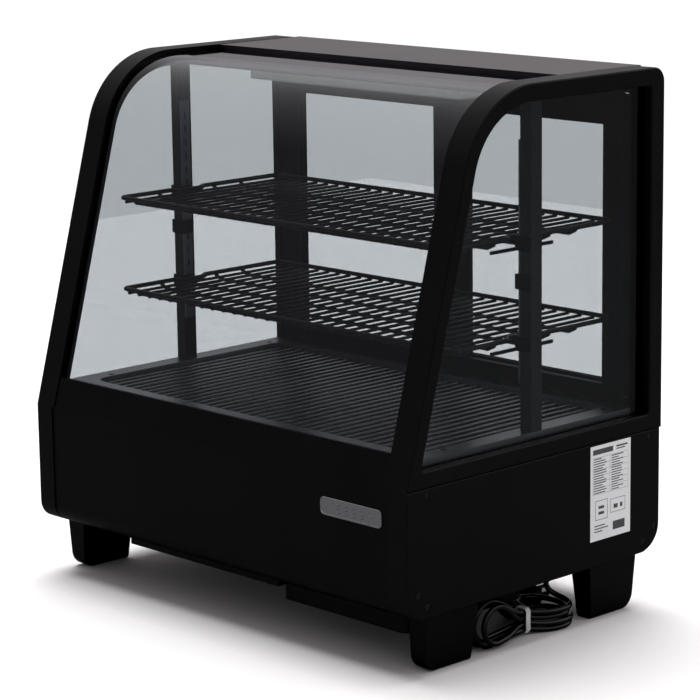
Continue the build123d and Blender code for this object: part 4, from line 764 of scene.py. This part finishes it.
def shelf_outline(low, high, level):
    """The rim's centre line, and which edges join it."""
    x, front, rear = high.x - RIM_WIRE, low.y + RIM_WIRE, high.y - RIM_WIRE
    inner = x - NOTCH_DEPTH
    near, far = NOTCH_MIDDLE - NOTCH_HALF, NOTCH_MIDDLE + NOTCH_HALF
    slope = NOTCH_DEPTH / 2
    right_end = [(x, front), (x, near), (inner, near + slope)]
    right_end += [(inner, far - slope), (x, far), (x, rear)]
    left_end = [(-px, py) for px, py in reversed(right_end)]
    points = [(px, py, level) for px, py in right_end + left_end]
    return points, [(index, (index + 1) % len(points)) for index in range(len(points))]


# %% Build the shelves
for shelf_name in ("upper_shelf", "lower_shelf"):
    shelf_low, shelf_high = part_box(shelf_name)
    level = shelf_high.z - RIM_WIRE
    rim_x = shelf_high.x - RIM_WIRE
    depth = shelf_high.y - shelf_low.y
    long_level = level - RIM_WIRE - LONG_WIRE + WELD
    cross_level = long_level - LONG_WIRE - CROSS_WIRE + WELD
    long_count = int((2 * rim_x - LONG_PITCH) / LONG_PITCH) + 1
    cross_count = int((depth - CROSS_PITCH) / CROSS_PITCH) + 1
    pattern = Pattern(shelf_name + "_wires", {
        "Rim radius": RIM_WIRE,
        "Corner radius": RIM_CORNER,
        "Long wires": long_count,
        "Long wire radius": LONG_WIRE,
        "Long wire length": depth - 0.001,
        "Long wire pitch": LONG_PITCH,
        "Cross wires": cross_count,
        "Cross wire radius": CROSS_WIRE,
        "Cross wire length": 2 * (rim_x - NOTCH_DEPTH),
        "Cross wire pitch": CROSS_PITCH,
    })
    path = pattern.node("GeometryNodeMeshToCurve", {}, {0: pattern.base})
    corner = {"Curve": path, "Radius": pattern.size("Corner radius"), "Limit Radius": True}
    rounded = pattern.node("GeometryNodeFilletCurve", {"mode": "POLY"}, {**corner, "Count": 6})
    rim = pattern.tube(rounded, pattern.size("Rim radius"), 16)
    long_line = pattern.through_middle(pattern.size("Long wire length"), "Y")
    long_wire = pattern.tube(long_line, pattern.size("Long wire radius"))
    pitch = pattern.size("Long wire pitch")
    long_start = pitch * (pattern.size("Long wires") - 1) * -0.5
    middle_y = (shelf_low.y + shelf_high.y) / 2
    long_wires = pattern.row_of(
        long_wire,
        pattern.size("Long wires"),
        pattern.vector(long_start, middle_y, long_level),
        pattern.vector(pitch),
    )
    cross_pitch = pattern.size("Cross wire pitch")
    cross_radius = pattern.size("Cross wire radius")
    cross_half = cross_pitch * (pattern.size("Cross wires") - 1) * -0.5
    cross_start = cross_half + (NOTCH_MIDDLE - CROSS_BACK)
    cross_line = pattern.through_middle(pattern.size("Cross wire length"), "X")
    cross_wires = pattern.row_of(
        pattern.tube(cross_line, cross_radius),
        pattern.size("Cross wires"),
        pattern.vector(0.0, cross_start, cross_level),
        pattern.vector(0.0, cross_pitch),
    )
    inner, rise = rim_x - NOTCH_DEPTH - RISE_LAP, level - RIM_WIRE - cross_level
    rises = []
    for side in (-1, 1):
        slope = pattern.straight((side * inner, 0.0, 0.0), (side * rim_x, 0.0, rise))
        rises.append(pattern.tube(slope, cross_radius))
    rise_pair = pattern.joined(*rises)
    for wires_behind in (0, 3):
        place = pattern.vector(0.0, cross_start + cross_pitch * wires_behind, cross_level)
        rise_row = pattern.row_of(rise_pair, 2, place, pattern.vector(0.0, cross_pitch))
        cross_wires = pattern.joined(cross_wires, rise_row)
    result = pattern.joined(rim, long_wires, cross_wires)
    shelf_mesh = pattern.mesh(result, "black_wire", *shelf_outline(shelf_low, shelf_high, level))
    shelf_mesh.shade_smooth()
    finished(shelf_name + "_wire", shelf_mesh, "black_wire", shelf_name, [shelf_name])

# %% [markdown]
# ### Floor bars
#
# The warm air rises between flat polished bars that run from front to rear. Three square bars
# under them hold them at their spacing. The bars' long edges are broken, and those thin slanted
# faces are what catch the light. A bar's section is a curve that the tree sweeps along its length.

# %% Build the floor bars
GRATE_LOW, GRATE_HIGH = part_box("floor_grate")
BAR_PITCH = 0.016
BAR_WIDTH = 0.007
BAR_HEIGHT = 0.003
OUTER_BAR = 0.310
FULL_BAR = 0.330
CROSS_BAR = 0.004
CROSS_FROM_END = 0.004
FLOOR_SPAN = 0.594
FLOOR_GAP = 0.0015
bar_count = int((FLOOR_SPAN - 2 * FLOOR_GAP - BAR_WIDTH) / BAR_PITCH) + 1
grate_middle = (GRATE_LOW + GRATE_HIGH) / 2
grate = Pattern("floor_bars", {
    "Bars": bar_count - 2,
    "Pitch": BAR_PITCH,
    "Width": BAR_WIDTH,
    "Height": BAR_HEIGHT,
    "Length": FULL_BAR,
    "Outer length": OUTER_BAR,
    "Broken edge": 0.0006,
    "Cross bar": CROSS_BAR,
})


def flat_bar(length, width, height, along):
    """A bar with broken edges, swept along a straight line."""
    sides = {"Width": width, "Height": height}
    section = grate.node("GeometryNodeCurvePrimitiveQuadrilateral", {}, sides)
    corners = {"Curve": section, "Radius": size("Broken edge"), "Count": 1}
    broken = grate.node("GeometryNodeFilletCurve", {"mode": "POLY"}, corners)
    return grate.swept(grate.through_middle(length, along), broken)


size = grate.size
bar_level = GRATE_HIGH.z - BAR_HEIGHT / 2
full_bar = flat_bar(size("Length"), size("Width"), size("Height"), "Y")
outer_bar = flat_bar(size("Outer length"), size("Width"), size("Height"), "Y")
inner_start = size("Pitch") * (size("Bars") - 1) * -0.5
inner_place = grate.vector(inner_start, grate_middle.y, bar_level)
bars = grate.row_of(full_bar, size("Bars"), inner_place, grate.vector(size("Pitch")))
outer_step = size("Pitch") * (size("Bars") + 1)
outer_place = grate.vector(outer_step * -0.5, grate_middle.y, bar_level)
outer_bars = grate.row_of(outer_bar, 2, outer_place, grate.vector(outer_step))
cross_length = BAR_PITCH * (bar_count - 1)
cross_bar = flat_bar(cross_length, size("Cross bar"), size("Cross bar"), "X")
cross_places = 0.5 * OUTER_BAR - CROSS_FROM_END
cross_bars = grate.row_of(
    cross_bar,
    3,
    grate.vector(0.0, grate_middle.y - cross_places, GRATE_LOW.z + CROSS_BAR / 2),
    grate.vector(0.0, cross_places),
)
# The bars take the darker copy of polished steel, which paints shade on them.
grate_mesh = grate.mesh(grate.joined(bars, outer_bars, cross_bars), "bar_steel")
print("bars:", bar_count, "grate box:", GRATE_LOW, GRATE_HIGH)
finished("floor_bars", grate_mesh, "bar_steel", "floor_grate", ["floor_grate"])

# %% [markdown]
# ### Screws
#
# Twelve screws hold the side panels and four hold the floor plate. One head is made as a mesh: a
# shallow dome with a cross recess cut into it. The tree puts a copy at each point, turned the way the
# point's stored turn says, so no two recesses line up.

# %% One screw head
HEAD_RADIUS = 0.004


def screw_head():
    """A dome on a grid of rings, pressed down inside a cross."""
    build = bmesh.new()
    rings = [[build.verts.new((0.0, 0.0, -0.0011))]]
    for reach in (0.12, 0.25, 0.38, 0.5, 0.62, 0.74, 0.85, 0.94, 1.0):
        ring = []
        for index in range(32):
            angle = 2 * pi * index / 32
            x, y = reach * cos(angle), reach * sin(angle)
            in_cross = min(abs(x), abs(y)) < 0.13 and reach < 0.66
            sink = 0.0012 * (1 - reach) if in_cross else 0.0
            height = 0.0006 * (1 - reach * reach) - sink
            ring.append(build.verts.new((x * HEAD_RADIUS, y * HEAD_RADIUS, height)))
        rings.append(ring)
    rings.append([build.verts.new((v.co.x, v.co.y, -0.0012)) for v in rings[-1]])
    for index in range(32):
        build.faces.new((rings[0][0], rings[1][index], rings[1][(index + 1) % 32]))
    for low, high in zip(rings[1:], rings[2:]):
        for index in range(32):
            after = (index + 1) % 32
            build.faces.new((low[index], high[index], high[after], low[after]))
    build.faces.new(rings[-1][::-1])
    bmesh.ops.recalc_face_normals(build, faces=build.faces)
    mesh = bpy.data.meshes.new("screw_head")
    build.to_mesh(mesh)
    build.free()
    head = bpy.data.objects.new("screw_head", mesh)
    bpy.context.scene.collection.objects.link(head)
    return head


# %% Where the screws are
SIDE_SCREWS = (
    (-0.192, 0.2185), (0.202, 0.2185), (-0.207, 0.102),
    (-0.192, 0.085), (0.212, 0.102), (0.191, 0.085),
)
FLOOR_SCREWS = (-0.128, 0.155)
FLOOR_SCREW_X, FLOOR_SCREW_LEVEL = 0.305, 0.2551
HEAD_PROUD = 0.0006  # a head's dome stands this far out of its seat
SCREW_LOW, SCREW_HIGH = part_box("screws")
side_face = SCREW_HIGH.x - HEAD_PROUD
places, ways = [], []
for side in (-1, 1):
    for y, z in SIDE_SCREWS:
        places.append((side * side_face, y, z))
        ways.append((0.0, side * pi / 2, 0.0))
    for y in FLOOR_SCREWS:
        places.append((side * FLOOR_SCREW_X, y, FLOOR_SCREW_LEVEL))
        ways.append((0.0, 0.0, 0.0))
print("screws:", len(places), "box:", SCREW_LOW, SCREW_HIGH)

# %% Place them
screws = Pattern("screw_heads", {"Turn step": 0.7})
head = screw_head()
source = screws.node("GeometryNodeObjectInfo", {}, {"Object": head}, out="Geometry")
index = screws.node("GeometryNodeInputIndex")
spots = {"Points": screws.base, "Instance": source, "Rotation": screws.stored("way")}
faced = screws.node("GeometryNodeInstanceOnPoints", {}, spots)
spin = {"Rotation": screws.vector(0.0, 0.0, index * screws.size("Turn step")), "Local Space": True}
turned = screws.node("GeometryNodeRotateInstances", {}, {0: faced, **spin})
screw_mesh = screws.mesh(turned, "screw", places, stored={"way": ways})
bpy.data.objects.remove(head)
finished("screw_heads", screw_mesh, "screw", "case", ["screws"])

# %% [markdown]
# ## Printing
#
# The rating label is a white card with rows of small print, ruled boxes and a wiring sketch. None of
# it is real wording: short bars of uneven length stand for the rows of print. The tree puts one flat
# bar at each point and stretches it to the length stored there, so the whole label is one piece.


# %% Bars of print
def print_bars(name, bars, finish, outward, thick=0.00008):
    """Flat bars, each given by its middle and its size, raised a hair from the surface."""
    pattern = Pattern(name, {"Raised": thick})
    block = pattern.node("GeometryNodeMeshCube", {}, {"Size": (1.0, 1.0, 1.0)})
    raised = pattern.vector(**{outward: pattern.size("Raised")})
    addends = {0: pattern.stored("size"), 1: raised}
    grown = pattern.node("ShaderNodeVectorMath", {"operation": "ADD"}, addends)
    spots = {"Points": pattern.base, "Instance": block, "Scale": grown}
    placed = pattern.node("GeometryNodeInstanceOnPoints", {}, spots)
    middles, sizes = zip(*bars)
    mesh = pattern.mesh(placed, finish, list(middles), stored={"size": sizes})
    return finished(name, mesh, finish, "case", ())


coated("label_ink", (0.05, 0.05, 0.055), (0.09, 0.09, 0.095), 0.5, 900.0, 0.00001, 0.3)
coated("print_white", (0.5, 0.5, 0.49), (0.6, 0.6, 0.59), 0.5, 900.0, 0.00001, 0.3)

# %% The label's rows
LABEL_LOW, LABEL_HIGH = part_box("rating_label")
INK_SINK = 0.00002
label_x = LABEL_HIGH.x - INK_SINK
label_width = LABEL_HIGH.y - LABEL_LOW.y
label_height = LABEL_HIGH.z - LABEL_LOW.z


def on_label(across, down, wide, tall):
    """A bar on the label, in parts of its width and height from the front top corner."""
    y = LABEL_LOW.y + (across + wide / 2) * label_width
    z = LABEL_HIGH.z - (down + tall / 2) * label_height
    return (label_x, y, z), (0.0, wide * label_width, tall * label_height)


heading = ((0.06, 0.04, 0.5, 0.055), (0.64, 0.045, 0.28, 0.018), (0.64, 0.075, 0.22, 0.012))
rows = [on_label(*mark) for mark in heading]
ROW_PITCH, ROW_TALL = 0.0255, 0.011
TABLE_TOP, TABLE_TALL, TABLE_WIDE = 0.127, 0.387, 0.88
for row in range(15):
    down = 0.135 + row * ROW_PITCH
    first = 0.2 + 0.12 * abs(sin(row * 2.3))
    second = 0.16 + 0.14 * abs(cos(row * 1.7))
    rows.append(on_label(0.08, down, first, ROW_TALL))
    rows.append(on_label(0.52, down, second, ROW_TALL))
for row in range(7):
    rows.append(on_label(0.06, TABLE_TOP + row * 0.064, TABLE_WIDE, 0.0025))
for across in (0.06, 0.48, 0.9375):
    rows.append(on_label(across, TABLE_TOP, 0.004, TABLE_TALL))
sketch = (
    (0.12, 0.58, 0.3, 0.006), (0.12, 0.58, 0.009, 0.2), (0.12, 0.78, 0.3, 0.006),
    (0.42, 0.58, 0.009, 0.206), (0.2, 0.64, 0.14, 0.03), (0.2, 0.7, 0.14, 0.03),
    (0.5, 0.6, 0.36, 0.005), (0.5, 0.6, 0.008, 0.14), (0.86, 0.6, 0.008, 0.145),
    (0.58, 0.66, 0.1, 0.045), (0.74, 0.66, 0.06, 0.045), (0.5, 0.74, 0.368, 0.005),
    (0.1, 0.84, 0.26, 0.012), (0.1, 0.87, 0.34, 0.012), (0.1, 0.9, 0.2, 0.012),
    (0.56, 0.84, 0.3, 0.09),
)
rows += [on_label(*mark) for mark in sketch]
print_bars("label_print", rows, "label_ink", "x")

# %% [markdown]
# ### The badge
#
# The badge is a small brushed plate with a raised border. Three plain waves, like warm air rising,
# stand in its sunk field: each is a curve through a sine wave, given a round section by its bevel and
# then made a mesh. The plate itself is a skin over rounded outlines, each a little further in.

# %% The badge plate
BADGE_LOW, BADGE_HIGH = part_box("badge")
badge_middle = (BADGE_LOW + BADGE_HIGH) / 2
BORDER = 0.0016
FIELD_DROP = 0.0006
EDGE_BREAK = 0.0003
CORNER = 0.006
ARC_STEPS = 8


def plate_ring(inset, y):
    """A rounded outline of the badge, set in from its edge, at one depth."""
    half_x = (BADGE_HIGH.x - BADGE_LOW.x) / 2 - inset
    half_z = (BADGE_HIGH.z - BADGE_LOW.z) / 2 - inset
    radius = CORNER - inset
    ring = []
    for quarter in range(4):
        corner_x = (half_x - radius) * (1 if quarter in (0, 3) else -1)
        corner_z = (half_z - radius) * (1 if quarter in (0, 1) else -1)
        for step in range(ARC_STEPS + 1):
            angle = pi / 2 * (quarter + step / ARC_STEPS)
            x, z = corner_x + radius * cos(angle), corner_z + radius * sin(angle)
            ring.append((badge_middle.x + x, y, badge_middle.z + z))
    return ring


field_face = BADGE_LOW.y + FIELD_DROP
plate_mesh = skin_over("badge_plate", [
    plate_ring(0.0, BADGE_HIGH.y),
    plate_ring(0.0, BADGE_LOW.y + EDGE_BREAK),
    plate_ring(EDGE_BREAK, BADGE_LOW.y),
    plate_ring(BORDER, BADGE_LOW.y),
    plate_ring(BORDER + EDGE_BREAK, field_face),
], smooth=False)
finished("badge_plate", plate_mesh, "badge", "case", ["badge"])

# %% Waves on the badge
WAVE_RADIUS, WAVE_HEIGHT, WAVE_PITCH = 0.0006, 0.0014, 0.0048
WAVE_LENGTH, WAVE_SHORTER = 0.074, 0.012
WAVE_STEPS = 26
wave_data = bpy.data.curves.new("badge_waves", "CURVE")
wave_data.dimensions = "3D"
wave_data.bevel_depth = WAVE_RADIUS
wave_data.bevel_resolution = 2
wave_data.use_fill_caps = True
for row in (-1, 0, 1):
    wave = wave_data.splines.new("NURBS")
    wave.points.add(WAVE_STEPS)
    for step, control in enumerate(wave.points):
        along = (step / WAVE_STEPS - 0.5) * (WAVE_LENGTH - WAVE_SHORTER * abs(row))
        height = WAVE_HEIGHT * sin(step * pi / 2.6) + row * WAVE_PITCH
        control.co = (badge_middle.x + along, field_face, badge_middle.z + height, 1.0)
    wave.order_u = 4
    wave.use_endpoint_u = True
wave_source = bpy.data.objects.new("wave_source", wave_data)
bpy.context.scene.collection.objects.link(wave_source)
depsgraph = bpy.context.evaluated_depsgraph_get()
wave_mesh = bpy.data.meshes.new_from_object(wave_source.evaluated_get(depsgraph))
bpy.data.objects.remove(wave_source)
finished("badge_waves", wave_mesh, "polished_steel", "case", ())

# %% [markdown]
# ### Marks by the controls
#
# Every fifth tick round the dial is longer. Each rocker has a short upright line printed above it
# and a level line below it, and the display shows three digits made of up to seven bars each.

# %% Dial ticks
KNOB_LOW, KNOB_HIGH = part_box("thermostat_knob")
knob_x, knob_z = (KNOB_LOW.x + KNOB_HIGH.x) / 2, (KNOB_LOW.z + KNOB_HIGH.z) / 2
panel_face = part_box("rear_panel")[1].y
TICK_START, TICK_STOP, LONG_TICK_STOP = 0.0195, 0.0225, 0.0245
TICK_HALF, LONG_TICK_HALF = 0.0003, 0.0005
TICK_RAISED = Vector((0, 0.00012, 0))
build = bmesh.new()
for tick in range(21):
    angle = radians(225 - tick * 13.5)
    start, stop = TICK_START, TICK_STOP if tick % 5 else LONG_TICK_STOP
    half = TICK_HALF if tick % 5 else LONG_TICK_HALF
    side = Vector((-sin(angle), 0, cos(angle))) * half
    way_out = Vector((cos(angle), 0, sin(angle)))
    middle = Vector((knob_x, panel_face, knob_z))
    corners = [middle + way_out * start - side, middle + way_out * stop - side]
    corners += [middle + way_out * stop + side, middle + way_out * start + side]
    low_ring = [build.verts.new(corner) for corner in corners]
    high_ring = [build.verts.new(corner + TICK_RAISED) for corner in corners]
    build.faces.new(high_ring)
    build.faces.new(low_ring)
    for index in range(4):
        after = (index + 1) % 4
        build.faces.new((low_ring[index], low_ring[after], high_ring[after], high_ring[index]))
bmesh.ops.recalc_face_normals(build, faces=build.faces)
tick_mesh = bpy.data.meshes.new("dial_ticks")
build.to_mesh(tick_mesh)
build.free()
finished("dial_ticks", tick_mesh, "print_white", "case", ())

# %% Rocker marks and display digits
MARK_GAP, MARK_STROKE = 0.006, 0.0008
mark_face = panel_face + 0.00006
marks = []
for name in ("power_switch_body", "light_switch_body"):
    low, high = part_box(name)
    middle_x = (low.x + high.x) / 2
    marks.append(((middle_x, mark_face, high.z + MARK_GAP), (MARK_STROKE, 0.0, 0.005)))
    marks.append(((middle_x, mark_face, low.z - MARK_GAP), (0.006, 0.0, MARK_STROKE)))
print_bars("switch_marks", marks, "print_white", "y", 0.0001)

DISPLAY_LOW, DISPLAY_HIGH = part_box("temperature_display")
DIGIT_SINK, DIGIT_PITCH = 0.00095, 0.0105
digit_face = DISPLAY_HIGH.y - DIGIT_SINK
digit_z = (DISPLAY_LOW.z + DISPLAY_HIGH.z) / 2
display_x = (DISPLAY_LOW.x + DISPLAY_HIGH.x) / 2
SEGMENTS = {"6": "acdefg", "5": "acdfg", "0": "abcdef"}
SPOTS = {
    "a": (0, 1, 1), "b": (1, 0.5, 0), "c": (1, -0.5, 0), "d": (0, -1, 1),
    "e": (-1, -0.5, 0), "f": (-1, 0.5, 0), "g": (0, 0, 1),
}
DIGIT_HALF_WIDTH, DIGIT_HALF_HEIGHT, STROKE = 0.003, 0.006, 0.0012
digits = []
for place, digit in enumerate("650"):
    for letter in SEGMENTS[digit]:
        across, rise, flat = SPOTS[letter]
        x = display_x + (1 - place) * DIGIT_PITCH - across * DIGIT_HALF_WIDTH
        long_side = 2 * DIGIT_HALF_WIDTH - STROKE if flat else DIGIT_HALF_HEIGHT - STROKE
        shape = (long_side, 0.0, STROKE) if flat else (STROKE, 0.0, long_side)
        digits.append(((x, digit_face, digit_z + rise * DIGIT_HALF_HEIGHT), shape))
lit("digit_red", (0.6, 0.03, 0.01), 0.7)
print_bars("display_digits", digits, "digit_red", "y", 0.0002)

# %% [markdown]
# ## Floor and light
#
# The case stands on a plain white floor that runs into a white background. A large soft lamp overhead
# and the bright room give most of the light, and the front is darker, so the upright black faces
# stay deep and only the roof and the edges pick up a sheen.

# %% The floor
FLOOR_HALF = 2.6
floor_data = bpy.data.meshes.new("studio_floor")
corners = ((-1, -1), (1, -1), (1, 1), (-1, 1))
floor_points = [(x * FLOOR_HALF, y * FLOOR_HALF, 0.0) for x, y in corners]
floor_data.from_pydata(floor_points, [], [(0, 1, 2, 3)])
studio_floor = bpy.data.objects.new("studio_floor", floor_data)
bpy.context.scene.collection.objects.link(studio_floor)
studio_floor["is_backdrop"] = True
floor_finish = Finish("studio_floor")
mottle = floor_finish.noise(0.8, 2.0)
paper = floor_finish.principled(
    Base_Color=floor_finish.mix(mottle, (0.93, 0.925, 0.925), (0.9, 0.895, 0.895)),
    Roughness=0.9,
    Specular_IOR_Level=0.1,
)
# Seen in reflections the floor is a flat dark grey instead of white: painted shade that keeps the
# upright black faces dark.
grey = (0.1, 0.1, 0.1, 1.0)
painted_shade_in_reflections = floor_finish.principled(Base_Color=grey, Roughness=1.0, Specular_IOR_Level=0.0)
mirrored = floor_finish.node("ShaderNodeLightPath", out="Is Glossy Ray")
floor_shader = floor_finish.node("ShaderNodeMixShader", {}, {0: mirrored, 1: paper, 2: painted_shade_in_reflections})
floor_data.materials.append(floor_finish.shown(floor_shader))
print("floor:", FLOOR_HALF * 2, "m square")

# %% The background
world = bpy.data.worlds.new("studio")
world.use_nodes = True
sky = Tree(world.node_tree)
sky.tree.nodes.clear()
toward = sky.node("ShaderNodeTexCoord", out="Generated")
height = sky.node("ShaderNodeSeparateXYZ", {}, {0: toward}, out=2)
depth = sky.node("ShaderNodeSeparateXYZ", {}, {0: toward}, out=1)
rising = sky.ramp(
    height,
    (0.0, (0.14, 0.134, 0.138)),
    (0.2, (0.5, 0.47, 0.495)),
    (0.45, (0.72, 0.69, 0.7)),
    (1.0, (1.0, 0.955, 0.95)),
)
behind = sky.ramp(depth * 0.5 + 0.5, (0.15, (0.3, 0.3, 0.31)), (0.9, (1.0, 1.0, 1.0)))
multiplied = {"data_type": "RGBA", "blend_type": "MULTIPLY"}
both = sky.node("ShaderNodeMix", multiplied, {0: 1.0, 6: rising, 7: behind}, out=2)
ROOM_STRENGTH = 1.05
room_light = sky.node("ShaderNodeBackground", {}, {"Color": both, "Strength": ROOM_STRENGTH})
white = (1.0, 1.0, 1.0, 1.0)
white_wall = sky.node("ShaderNodeBackground", {}, {"Color": white, "Strength": ROOM_STRENGTH})
seen = sky.node("ShaderNodeLightPath", out="Is Camera Ray")
sky_shader = sky.node("ShaderNodeMixShader", {}, {0: seen, 1: room_light, 2: white_wall})
sky.node("ShaderNodeOutputWorld", {}, {"Surface": sky_shader})
bpy.context.scene.world = world
print("world:", world.name)


# %% The high lamp
sun_data = bpy.data.lights.new("high_lamp", "SUN")
sun_data.energy = 3.3
sun_data.angle = radians(46)
sun = bpy.data.objects.new("high_lamp", sun_data)
bpy.context.scene.collection.objects.link(sun)
sun.matrix_world = Vector((0.26, -0.16, -1.0)).to_track_quat("-Z", "Y").to_matrix().to_4x4()
sun.visible_glossy = False
tone = bpy.context.scene.view_settings
tone.view_transform = "Standard"
tone.look = "None"
tone.use_curve_mapping = True
tone.curve_mapping.black_level = (0.0012, 0.0012, 0.0012)
tone.curve_mapping.update()
print("lamps:", len(bpy.data.lights))

# %% [markdown]
# ## Finish
#
# The size of the finished object is printed in millimetres. A render model may not be larger
# than the part it shows.

# %% Print the finished size
low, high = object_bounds()
print("visual size in mm:", [round(side / MM, 1) for side in high - low])
